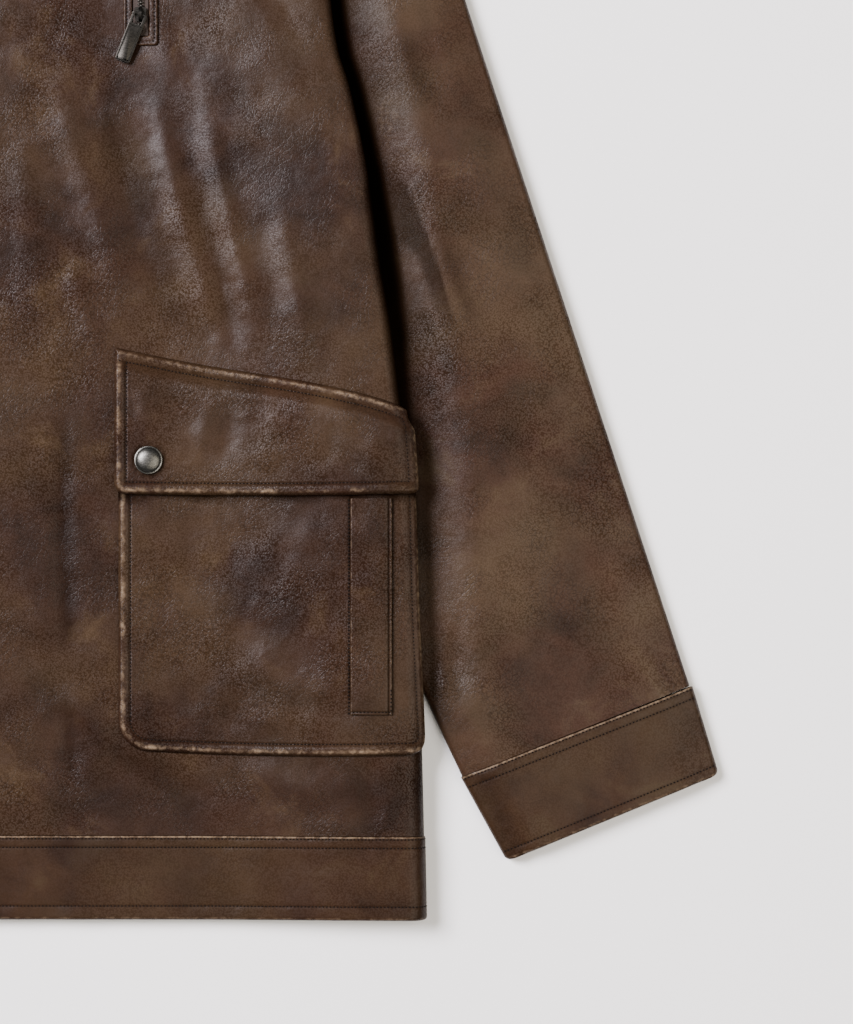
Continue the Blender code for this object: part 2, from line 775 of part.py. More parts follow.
def loop_round(half, low, high, corner):
    """Points round an upright oblong with rounded corners, (x, y), from the lower right."""
    points = []
    for cx, cy, start in ((1, 0, -90), (1, 1, 0), (-1, 1, 90), (-1, 0, 180)):
        centre_y = mix(low + corner, high - corner, cy)
        for step in (0, 45, 90):
            a = radians(start + step)
            points.append((ZIP_X + cx * (half - corner) + corner * cos(a), centre_y + corner * sin(a)))
        if cx == 1 and cy == 0:
            points += [(ZIP_X + half, mix(low, high, f)) for f in (0.25, 0.5, 0.75)]
        if cx == -1 and cy == 1:
            points += [(ZIP_X - half, mix(low, high, f)) for f in (0.75, 0.5, 0.25)]
    return points


def add_zip_welt(material):
    margin = ZIP_WELT_HALF - ZIP_SLOT_HALF
    rings = [
        loop_round(ZIP_WELT_HALF, ZIP_BOTTOM - margin, ZIP_TOP + margin, 0.002),
        loop_round(ZIP_SLOT_HALF, ZIP_BOTTOM, ZIP_TOP, 0.001),
    ]
    layers = []
    for out in (LAY_GAP + ZIP_WELT_WALL, LAY_GAP):
        layers.append([[Vector((x, y, front_height(x, y) + out)) for x, y in ring] for ring in rings])
    add_wall("zip_welt", *layers, material, ring=True)


def add_zip_tape(material):
    """Tape with the raised bed that the teeth stand on."""
    half = ZIP_SLOT_HALF - SEAM_GAP
    layers = []
    for is_top in (True, False):
        rows = []
        for k in range(7):
            y = mix(ZIP_BOTTOM + SEAM_GAP, ZIP_TOP - SEAM_GAP, k / 6)
            row = []
            for x in (-half, -0.0024, -0.0019, 0.0019, 0.0024, half):
                out = LAY_GAP
                if is_top:
                    out += TAPE_WALL if abs(x) < 0.002 else TAPE_WALL - 0.0006
                row.append(Vector((ZIP_X + x, y, front_height(ZIP_X + x, y) + out)))
            rows.append(row)
        layers.append(rows)
    add_wall("zip_tape", *layers, material)


def box_mesh(name, size, centre=(0, 0, 0), bevel=0.0):
    bm = bmesh.new()
    bmesh.ops.create_cube(bm, size=1, matrix=Matrix.Translation(centre) @ Matrix.Diagonal((*size, 1)))
    if bevel:
        bmesh.ops.bevel(bm, geom=bm.edges[:], offset=bevel, segments=1, affect="EDGES", profile=0.5)
    mesh = bpy.data.meshes.new(name)
    bm.to_mesh(mesh)
    bm.free()
    return mesh


def add_cutter(name, size, centre, target, operation, place):
    """A hidden box that is joined to or cut from a piece."""
    cutter = add_object(name, box_mesh(name, size, centre), METAL)
    cutter.matrix_world = place
    cutter.hide_render = True
    cutter.display_type = "WIRE"
    boolean = target.modifiers.new(name, "BOOLEAN")
    boolean.operation = operation
    boolean.object = cutter
    return cutter


def add_slider(material):
    """The slider's body with a low arch that the pull tab's end bar runs through."""
    width, length, height = SLIDER_SIZE
    arch_width, arch_length, arch_height = ARCH_SIZE
    tunnel_length, tunnel_height = TUNNEL_SIZE
    base = front_height(ZIP_X, SLIDER_Y) + LAY_GAP + TAPE_WALL + SEAM_GAP
    place = Matrix.Translation((ZIP_X, SLIDER_Y - MIDDLE_Y, base))
    slider_mesh = box_mesh("zip_slider", SLIDER_SIZE, (0, 0, height / 2), 0.0006)
    slider = add_object("zip_slider", slider_mesh, material)
    slider.matrix_world = place
    arch_centre = (0, 0, height + arch_height / 2 - 0.0004)
    add_cutter("slider_arch", (arch_width, arch_length, arch_height), arch_centre, slider, "UNION", place)
    tunnel_centre = (0, 0, height + tunnel_height / 2)
    add_cutter("slider_tunnel", (width, tunnel_length, tunnel_height), tunnel_centre, slider, "DIFFERENCE", place)
    return base + height + tunnel_height / 2


def add_pull_tab(material, hinge_z):
    """A flat tab with an eye; its end bar lies on the hinge axis, through the arch."""
    eye_width, eye_length = TAB_EYE
    tip_x = ZIP_X - sin(TAB_LEAN) * TAB_LENGTH
    tip_y = SLIDER_Y - cos(TAB_LEAN) * TAB_LENGTH
    tip_z = front_height(tip_x, tip_y) + TAB_TIP_CLEARANCE + TAB_WALL / 2
    tilt = asin((hinge_z - tip_z) / TAB_LENGTH)
    size = (TAB_WIDTH, TAB_LENGTH + TAB_WALL / 2, TAB_WALL)
    centre = (0, TAB_WALL / 2 - size[1] / 2, 0)
    tab = add_object("zip_pull", box_mesh("zip_pull", size, centre), material)
    turn = Euler((tilt, 0, -TAB_LEAN), "XYZ").to_matrix().to_4x4()
    tab.matrix_world = Matrix.Translation((ZIP_X, SLIDER_Y - MIDDLE_Y, hinge_z)) @ turn
    eye_centre = (0, -TAB_WALL / 2 - eye_length / 2, 0)
    add_cutter("tab_eye", (eye_width, eye_length, 0.01), eye_centre, tab, "DIFFERENCE", tab.matrix_world)
    bevel = tab.modifiers.new("rounded corners", "BEVEL")
    bevel.width = 0.0004
    bevel.segments = 1
    bevel.limit_method = "ANGLE"


for old in list(bpy.data.objects):
    bpy.data.objects.remove(old, do_unlink=True)

BROWN = leather("brown leather", (0.080, 0.048, 0.032))
DARK = leather("dark brown leather", (0.062, 0.038, 0.026))
METAL = leather("antique nickel", (0.30, 0.29, 0.27), 0.32, 1.0)
TAPE = leather("brown zip tape", (0.030, 0.020, 0.015), 0.85)

add_front("front_left", -OVERLAP_LEFT, False, BROWN)
add_front("front_right", -OVERLAP_RIGHT, True, BROWN)
add_wall("back", back_layer(0.0), back_layer(WALL), BROWN)
add_hem_front("hem_front_left", -OVERLAP_LEFT, False, BROWN)
add_hem_front("hem_front_right", -OVERLAP_RIGHT, True, BROWN)
add_hem_back(BROWN)
add_collar(BROWN)
add_placket(DARK)

for side, is_right in (("left", False), ("right", True)):
    add_sleeve("sleeve_" + side, BROWN, is_right)
    add_cuff("cuff_" + side, BROWN, is_right)
    add_bag("pocket_bag_" + side, BROWN, is_right)
    add_welt("pocket_welt_" + side, DARK, is_right)
    add_flap("pocket_flap_" + side, BROWN, is_right)
    along, height_y = POCKET_SNAP
    flap_out = 2 * LAY_GAP + BAG_WALL + ROLL_HEIGHT + FLAP_WALL
    seat = panel_point(along, height_y, flap_out + 0.0006)
    slope = (front_height(along + 0.01, height_y) - front_height(along - 0.01, height_y)) / 0.02
    snap = add_object("pocket_snap_" + side, snap_mesh(), METAL)
    sign = -1 if is_right else 1
    snap.location = (sign * seat.x, seat.y - MIDDLE_Y, seat.z)
    snap.rotation_euler = (0, -sign * atan(slope), 0)

for k in range(FRONT_SNAPS):
    snap_y = FIRST_SNAP_Y + k * SNAP_PITCH
    snap = add_object("front_snap_%d" % (k + 1), snap_mesh(), METAL)
    snap.location = (0, snap_y - MIDDLE_Y, front_height(0, snap_y) + LAY_GAP + PLACKET_WALL + SEAM_GAP)

add_zip_welt(DARK)
add_zip_tape(TAPE)
add_pull_tab(METAL, add_slider(METAL))
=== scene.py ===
import json
from math import asin, atan, cos, exp, hypot, pi, radians, sin, sqrt

import bmesh
import bpy
import numpy as np
from mathutils import Matrix, Vector, noise


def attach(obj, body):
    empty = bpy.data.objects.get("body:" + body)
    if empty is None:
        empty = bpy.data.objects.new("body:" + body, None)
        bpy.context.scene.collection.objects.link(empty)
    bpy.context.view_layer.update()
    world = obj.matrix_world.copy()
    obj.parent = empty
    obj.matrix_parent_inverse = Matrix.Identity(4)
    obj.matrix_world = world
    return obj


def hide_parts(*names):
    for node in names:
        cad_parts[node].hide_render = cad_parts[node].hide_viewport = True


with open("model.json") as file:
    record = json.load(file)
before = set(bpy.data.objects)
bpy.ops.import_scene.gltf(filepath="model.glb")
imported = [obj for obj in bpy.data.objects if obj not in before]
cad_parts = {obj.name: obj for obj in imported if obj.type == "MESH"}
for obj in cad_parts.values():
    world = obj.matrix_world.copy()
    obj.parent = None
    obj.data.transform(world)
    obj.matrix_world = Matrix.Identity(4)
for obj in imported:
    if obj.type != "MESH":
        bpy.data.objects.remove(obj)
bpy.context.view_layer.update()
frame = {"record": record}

coat = {
    "length": 0.7725, "wall": 0.002, "seamGap": 0.0003, "layGap": 0.0005,
    "hemDepth": 0.0505, "shoulderY": 0.684, "shoulderHalf": 0.238,
    "neckHalf": 0.088, "neckSideY": 0.730, "frontNeckY": 0.652, "backNeckY": 0.716,
    "armpitY": 0.441, "overlapLeft": 0.018, "overlapRight": 0.015,
    "underlapDrop": 0.0028, "underlapFrom": 0.022, "underlapFade": 0.014,
    "pixel": 0.0006,      # size of a photo pixel on the coat
    "centrePixel": -50,   # photo column of the coat's centre line
    "hemPixel": 920,      # photo row of the hem's lower edge
}
halfLength = coat["length"] / 2
gap = coat["seamGap"]

# Outline of the body's side as (y, x), and the shape of its puffed cross section
body = {
    "edge": [
        (0.000, 0.2855), (0.050, 0.2845), (0.110, 0.2830), (0.185, 0.2797), (0.250, 0.2768),
        (0.290, 0.2735), (0.310, 0.2706), (0.354, 0.2650), (0.393, 0.2585), (0.440, 0.2520),
        (0.461, 0.2484), (0.499, 0.2400), (0.523, 0.2328), (0.556, 0.2285), (0.600, 0.2275),
        (0.640, 0.2310), (0.684, 0.2380),
    ],
    "height": 0.0105, "sideRise": 0.0125, "riseWidth": 0.135, "riseIn": 0.012,
    "sideLift": 0.0078, "liftFrom": 0.060, "liftFade": 0.105,
    "armSeamZ": 0.0072, "armBlend": 0.012, "armTurn": 0.6, "shoulderSeamZ": 0.0024, "wrap": radians(115),
    "shoulderRound": 0.006, "armholeRound": 0.0055,
    "topRound": 0.004, "topRoundFrom": 0.56, "topRoundFade": 0.10,
    # The body is puffed less towards its hem and its shoulders
    "hemPuff": 0.68, "hemPuffTo": 0.16, "topPuff": 0.30, "topPuffFrom": 0.49, "topPuffFade": 0.17,
}

# Long folds up the chest: crest as (y, x), height, lower and upper end, half width
longFolds = [
    ([(0.05, 0.108), (0.35, 0.106), (0.42, 0.090), (0.50, 0.067), (0.684, 0.088)],
     0.0014, 0.36, 0.52, 0.0060),
    ([(0.05, 0.162), (0.35, 0.159), (0.42, 0.1395), (0.50, 0.1245), (0.684, 0.125)],
     0.0018, 0.345, 0.515, 0.0052),
    ([(0.05, 0.206), (0.35, 0.183), (0.42, 0.167), (0.50, 0.1535), (0.684, 0.162)],
     0.0017, 0.34, 0.515, 0.0052),
    ([(0.05, 0.244), (0.35, 0.215), (0.42, 0.201), (0.50, 0.186), (0.684, 0.200)],
     0.0009, 0.33, 0.46, 0.0070),
]

# Smaller creases of the fronts: from (x, y), to (x, y), bow, rise (a fall is less than 0), half width
frontCreases = [
    ((0.096, 0.478), (0.131, 0.366), 0.004, -0.0012, 0.008),
    ((0.160, 0.392), (0.172, 0.342), 0.001, -0.0010, 0.006),
    ((0.073, 0.395), (0.090, 0.340), 0.002, 0.0012, 0.006),
    ((0.066, 0.300), (0.070, 0.165), 0.001, -0.0016, 0.006),
    ((0.068, 0.140), (0.100, 0.108), 0.002, 0.0014, 0.007),
    ((0.070, 0.128), (0.076, 0.078), 0.001, -0.0012, 0.006),
    ((0.100, 0.102), (0.160, 0.070), 0.002, -0.0012, 0.007),
    ((0.176, 0.094), (0.232, 0.074), 0.002, 0.0012, 0.009),
    ((0.250, 0.100), (0.256, 0.058), 0.001, -0.0012, 0.006),
    ((0.198, 0.428), (0.214, 0.350), 0.002, 0.0008, 0.006),
    ((0.120, 0.560), (0.138, 0.500), 0.002, 0.0010, 0.008),
    ((0.045, 0.480), (0.052, 0.350), 0.002, 0.0010, 0.010),
    ((0.180, 0.600), (0.215, 0.520), 0.004, -0.0010, 0.009),
]

# Hollows of the folds, where shade is painted: line as (y, x), half width, amount
frontHollows = [
    ([(0.490, 0.094), (0.473, 0.0975), (0.415, 0.1200), (0.366, 0.1340), (0.345, 0.138)], 0.0100, 0.28),
    ([(0.470, 0.141), (0.450, 0.1450), (0.419, 0.1530), (0.391, 0.1620), (0.345, 0.172)], 0.0055, 0.26),
    ([(0.430, 0.180), (0.400, 0.186), (0.350, 0.197)], 0.0060, 0.16),
    ([(0.306, 0.067), (0.294, 0.069), (0.168, 0.071), (0.158, 0.072)], 0.0055, 0.40),
    ([(0.146, 0.070), (0.096, 0.0735), (0.086, 0.075)], 0.0055, 0.28),
    ([(0.112, 0.085), (0.108, 0.090), (0.066, 0.150), (0.062, 0.156)], 0.0100, 0.25),
    ([(0.096, 0.244), (0.054, 0.252)], 0.0060, 0.30),
]
sleeveHollows = [
    ([(0.420, 0.292), (0.395, 0.300), (0.350, 0.318)], 0.0060, 0.30),
    ([(0.330, 0.292), (0.250, 0.300)], 0.0060, 0.25),
    ([(0.540, 0.268), (0.480, 0.290)], 0.0070, 0.25),
]


def smooth(t):
    t = min(max(t, 0.0), 1.0)
    return t * t * (3 - 2 * t)


def mix(a, b, t):
    return a + (b - a) * t


# 1 on a line, falling off softly to both sides
def bell(off, half):
    return exp(-(off / half) ** 2)


# 1 on a line, falling evenly to 0 at half the width
def stripe(off, half):
    return max(0.0, 1 - abs(off) / half)


# A smooth curve through given (at, value) points, sorted either way
def through(points, at):
    if points[0][0] > points[-1][0]:
        points = points[::-1]
    last = len(points) - 2
    k = 0
    while k < last and at > points[k + 1][0]:
        k += 1
    (a0, v0), (a1, v1) = points[k], points[k + 1]

    def slope(i):
        low, high = max(i - 1, 0), min(i + 1, len(points) - 1)
        return (points[high][1] - points[low][1]) / (points[high][0] - points[low][0])

    span = a1 - a0
    t = min(max((at - a0) / span, 0.0), 1.0)
    m0, m1 = slope(k) * span, slope(k + 1) * span
    t2, t3 = t * t, t * t * t
    return (2 * t3 - 3 * t2 + 1) * v0 + (t3 - 2 * t2 + t) * m0 + (3 * t2 - 2 * t3) * v1 + (t3 - t2) * m1


# Places from one stop to the next at about the spacing between them
def places(*stops):
    found = [stops[0]]
    for k in range(0, len(stops) - 2, 2):
        start, spacing, end = stops[k:k + 3]
        count = max(1, round(abs(end - start) / spacing))
        found += [mix(start, end, i / count) for i in range(1, count + 1)]
    return found


# Small soft unevenness that all handled leather has
def softness(x, y, size, height, seed=0.0):
    return height * noise.noise(Vector((x / size, y / size, seed)))


def creaseRise(creases, x, y):
    total = 0.0
    for (ax, ay), (bx, by), bow, rise, half in creases:
        dx, dy = bx - ax, by - ay
        length = hypot(dx, dy)
        t = ((x - ax) * dx + (y - ay) * dy) / length / length
        if -0.1 < t < 1.1:
            off = ((x - ax) * dy - (y - ay) * dx) / length - bow * 4 * t * (1 - t)
            if abs(off) < half * 3:
                taper = smooth((t + 0.1) / 0.4) * smooth((1.1 - t) / 0.4)
                total += rise * taper * bell(off, half)
    return total


# How much shade is painted on a place that lies in one of the hollows
def hollowShade(hollows, x, y, fade=0.02):
    deepest = 0.0
    for line, half, amount in hollows:
        top, bottom = line[0][0], line[-1][0]
        if bottom < y < top:
            ends = smooth((top - y) / fade) * smooth((y - bottom) / fade)
            deepest = max(deepest, amount * ends * bell(x - through(line, y), half))
    return deepest


# A groove that a row of stitches pulls into the leather, and the shade painted along it
def stitchGroove(off, depth=0.0002, half=0.0009):
    return -depth * bell(off, half)


def rowShade(at, rows, half=0.0010, dark=0.20):
    return max(dark * bell(at - row, half) for row in rows)


# How far a rounded corner lies in from the side, at a distance from its end
def cornerInset(above, radius):
    if above >= radius:
        return 0.0
    return radius - sqrt(max(radius * radius - (radius - above) ** 2, 0.0))


# Share of the full thickness near a rim that is rounded over
def rimRound(distance, rim):
    return sqrt(max(1 - (1 - distance / rim) ** 2, 0.0)) if distance < rim else 1.0


# Body of the coat

def bodyEdge(y):
    return through(body["edge"], y)


def frontNeck(x):
    return mix(coat["frontNeckY"], coat["neckSideY"], min(abs(x) / coat["neckHalf"], 1.0) ** 2.2)


def backNeck(x):
    return mix(coat["backNeckY"], coat["neckSideY"], min(abs(x) / coat["neckHalf"], 1.0) ** 2)


def shoulderLine(x):
    t = (abs(x) - coat["neckHalf"]) / (coat["shoulderHalf"] - coat["neckHalf"])
    return mix(coat["neckSideY"], coat["shoulderY"], t)


# 0 along the side seam, 1 along the armhole
def armZone(y):
    return smooth((y - coat["armpitY"] + body["armBlend"] / 2) / body["armBlend"])


def foldRise(x, y):
    total = 0.0
    for crest, height, low, high, half in longFolds:
        along = smooth((y - low) / 0.04) * (1 - smooth((y - high + 0.06) / 0.06))
        if along > 0:
            off = (x - through(crest, y)) / half
            total += height * along * exp(-off * off / 2)
    return total


# The right front dips at its edge, under the left
def underlap(x):
    return coat["underlapDrop"] * (1 - smooth((x - coat["underlapFrom"]) / coat["underlapFade"]))


# Height of the front's face
def frontHeight(x, y, under=False):
    edge = bodyEdge(y)
    xIn = min(abs(x), edge)
    rise = smooth((xIn - edge + body["riseWidth"] + body["riseIn"]) / body["riseWidth"])
    puff = mix(body["hemPuff"], 1.0, smooth(y / body["hemPuffTo"]))
    puff *= mix(1.0, body["topPuff"], smooth((y - body["topPuffFrom"]) / body["topPuffFade"]))
    z = body["height"] + body["sideRise"] * rise * puff + foldRise(xIn, y)
    return z - underlap(x) if under else z


# Height of the side's lower end, which lifts off the floor over the sleeve
def sideLow(y):
    return body["sideLift"] * smooth((y - body["liftFrom"]) / body["liftFade"])


def sideRadius(y):
    if y > coat["armpitY"] + 0.01:
        return mix(body["armholeRound"], body["topRound"],
                   smooth((y - body["topRoundFrom"]) / body["topRoundFade"]))
    whole = (frontHeight(bodyEdge(y) - 0.010, y) - sideLow(y)) / 2
    return mix(whole, body["armholeRound"], armZone(y))


# Place on the rounded side: turn is 0 at the top and 1 at its lower end
def sidePoint(y, turn, out):
    edge, radius = bodyEdge(y), sideRadius(y)
    crown = frontHeight(edge - radius, y)
    angle = turn * body["wrap"]
    x = edge - radius + (radius + out) * sin(angle)
    z = crown - radius + (radius + out) * cos(angle)
    arm, armTurn = armZone(y), body["armTurn"]
    if arm > 0:
        if turn < armTurn:
            quarter = turn / armTurn * pi / 2
            armX = edge - radius + (radius + out) * sin(quarter)
            armZ = crown - radius + (radius + out) * cos(quarter)
        else:
            armX = edge + out
            armZ = mix(crown - radius, body["armSeamZ"], (turn - armTurn) / (1 - armTurn))
        x, z = mix(x, armX, arm), mix(z, armZ, arm)
    return x, z


# A point of the left front's face at a distance along the cloth from the centre line
def panelPoint(along, y, out):
    radius = sideRadius(y)
    flatEnd = bodyEdge(y) - radius
    if along <= flatEnd:
        return Vector((along, y, frontHeight(along, y) + out))
    x, z = sidePoint(y, (along - flatEnd) / radius / body["wrap"], out)
    return Vector((x, y, z))


# Meshes

# Cloth laid by a rule: a grid whose places are moved by shape(u, v), which gives the point in
# the coat's own measures, how pale the leather is there (rubbed wear and painted highlights) and how much
# shade is painted on it
def layCloth(name, across, along, shape, material, wall, closed=False, mirrored=False, facesDown=False):
    bm = bmesh.new()
    columns, rows = len(across) - 1, len(along) - 1
    bmesh.ops.create_grid(bm, x_segments=columns, y_segments=rows, size=1)
    wearAndHighlight = bm.verts.layers.float.new("wearAndHighlight")
    shaded = bm.verts.layers.float.new("shaded")
    for vert in bm.verts:
        i = round((vert.co.x + 1) / 2 * columns)
        j = round((vert.co.y + 1) / 2 * rows)
        point, paleness, shade = shape(across[i], along[j])
        vert.co = ((-point.x if mirrored else point.x), point.y - halfLength, point.z)
        vert[wearAndHighlight], vert[shaded] = paleness, shade
    if closed:
        bmesh.ops.remove_doubles(bm, verts=bm.verts, dist=0.000001)
    if mirrored != facesDown:
        bmesh.ops.reverse_faces(bm, faces=bm.faces)
    mesh = bpy.data.meshes.new(name)
    bm.to_mesh(mesh)
    bm.free()
    piece = showMesh(name, mesh, material)
    shell = piece.modifiers.new("wall", "SOLIDIFY")
    shell.thickness = wall
    shell.offset = -1
    settle(piece)
    return piece


# Applies a piece's modifiers and gives it smooth faces with crisp edges
def settle(piece, angle=48):
    graph = bpy.context.evaluated_depsgraph_get()
    mesh = bpy.data.meshes.new_from_object(piece.evaluated_get(graph))
    mesh.name = piece.name
    piece.modifiers.clear()
    piece.data = mesh
    mesh.shade_smooth()
    mesh.set_sharp_from_angle(angle=radians(angle))


def showMesh(name, mesh, material):
    piece = bpy.data.objects.new(name, mesh)
    bpy.context.scene.collection.objects.link(piece)
    mesh.materials.append(material)
    return piece


# Copies of one small shape, joined, each placed by its own matrix
def repeatShape(name, template, placings, material):
    spots = np.array([vert.co for vert in template.vertices])
    faces = [tuple(face.vertices) for face in template.polygons]
    points, polygons = [], []
    for k, placing in enumerate(placings):
        m = np.array(placing)
        points.append(spots @ m[:3, :3].T + m[:3, 3])
        polygons += [tuple(v + k * len(spots) for v in face) for face in faces]
    mesh = bpy.data.meshes.new(name)
    mesh.from_pydata(np.concatenate(points).tolist(), [], polygons)
    mesh.shade_smooth()
    return showMesh(name, mesh, material)


def makeTemplate(name, build):
    bm = bmesh.new()
    build(bm)
    bmesh.ops.recalc_face_normals(bm, faces=bm.faces)
    mesh = bpy.data.meshes.new(name)
    bm.to_mesh(mesh)
    bm.free()
    return mesh


def finishPiece(piece, bodyName, slotName, *nodes):
    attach(piece, bodyName)
    if nodes:
        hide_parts(*nodes)
    return piece


# Sewing

sewing = {
    "pitch": 0.00215, "length": 0.00135, "width": 0.0010, "height": 0.0005, "sink": 0.0001,
    "steps": 60,        # steps in which each leg of a route is followed
    "reach": 0.0004,    # how far beside a stitch the surface's slope is felt for
}


# Even stitches along a route of places on a piece that shape(a, b) lays, as in layCloth
def sewRow(shape, route, mirrored=False):
    def surface(a, b):
        return shape(a, b)[0]

    fine = []
    steps = sewing["steps"]
    for (a0, b0), (a1, b1) in zip(route, route[1:]):
        fine += [(mix(a0, a1, k / steps), mix(b0, b1, k / steps)) for k in range(steps)]
    fine.append(route[-1])
    line = [surface(a, b) for a, b in fine]
    run = [0.0]
    for p, q in zip(line, line[1:]):
        run.append(run[-1] + (q - p).length)
    placings = []
    count = int(run[-1] / sewing["pitch"])
    k = 0
    for i in range(count):
        target = (i + 0.5) * run[-1] / count
        while run[k + 1] < target:
            k += 1
        t = (target - run[k]) / (run[k + 1] - run[k])
        a, b = mix(fine[k][0], fine[k + 1][0], t), mix(fine[k][1], fine[k + 1][1], t)
        centre = line[k].lerp(line[k + 1], t)
        tangent = (line[k + 1] - line[k]).normalized()
        da = surface(a + sewing["reach"], b) - centre
        db = surface(a, b + sewing["reach"]) - centre
        up = da.cross(db).normalized()
        if up.z < -0.3:
            up = -up
        place = centre + up * (sewing["height"] / 2 - sewing["sink"])
        if mirrored:
            place.x, tangent.x, up.x = -place.x, -tangent.x, -up.x
        side = up.cross(tangent)
        sides = (tangent * sewing["length"], side * sewing["width"], up * sewing["height"])
        placing = Matrix([axis / 2 for axis in sides]).transposed().to_4x4()
        placing.translation = (place.x, place.y - halfLength, place.z)
        placings.append(placing)
    return placings


# Materials

def tone(code):
    value = int(code.lstrip("#"), 16)
    parts = [(value >> shift & 255) / 255 for shift in (16, 8, 0)]
    return (*(c / 12.92 if c <= 0.04045 else ((c + 0.055) / 1.055) ** 2.4 for c in parts), 1)


# Adds a node with its settings, its values by socket, and its links
def addNode(tree, kind, values=None, links=None, stops=None, **settings):
    made = tree.nodes.new(kind)
    for key, value in settings.items():
        setattr(made, key, value)
    for key, value in (values or {}).items():
        made.inputs[key].default_value = value
    for key, source in (links or {}).items():
        tree.links.new(source, made.inputs[key])
    if stops:
        ramp = made.color_ramp
        while len(ramp.elements) < len(stops):
            ramp.elements.new(0.5)
        for element, (at, colour) in zip(ramp.elements, stops):
            element.position = at
            element.color = colour if len(colour) == 4 else (*colour, 1)
    return made


def newMaterial(name):
    material = bpy.data.materials.new(name)
    material.use_nodes = True
    tree = material.node_tree
    tree.nodes.clear()
    shader = addNode(tree, "ShaderNodeBsdfPrincipled")
    addNode(tree, "ShaderNodeOutputMaterial", links={"Surface": shader.outputs["BSDF"]})
    return material, tree, shader


def grey(value):
    return value, value, value, 1


# Waxed, pull-up cowhide: dark where the wax is thick, khaki where it is pulled thin, with a
# pebbled crackle, pale tan where edges are rubbed and where highlights are painted, and painted
# shade towards near black. Sizes are in metres. The pores are drawn about twice as coarse as real
# ones, so that they show.
leatherLook = {
    "dark": "#1a0f09", "middle": "#261810", "khaki": "#37291b", "red": "#2a1a11",
    "wearAndHighlightTan": "#776551", "shade": "#040201", "crack": "#0f0804",
    "grainSize": 0.00105, "grain": 0.30, "crackSize": 0.0026, "cracks": 0.45,
    "bendBy": 0.005, "grainBendBy": 0.0006, "roughness": (0.32, 0.42), "specular": 0.135,
    # Noises: size, detail, roughness, distortion
    "noises": {
        "patches": (0.040, 6, 0.6, 0.5), "clouds": (0.095, 3, 0.5, 0.3), "redness": (0.055, 3, 0.5, 0.8),
        "wear": (0.045, 2, 0.55, 0), "crackSpread": (0.030, 3, 0.55, 0), "gloss": (0.018, 3, 0.55, 0),
        "lumps": (0.0030, 3, 0.6, 0), "wrinkles": (0.0085, 1, 0.4, 0.4), "pores": (0.0006, 1, 0.5, 0),
        "fine": (0.0007, 1, 0.5, 0), "bend": (0.009, 2, 0.55, 0), "grainBend": (0.002, 1, 0.55, 0),
    },
}


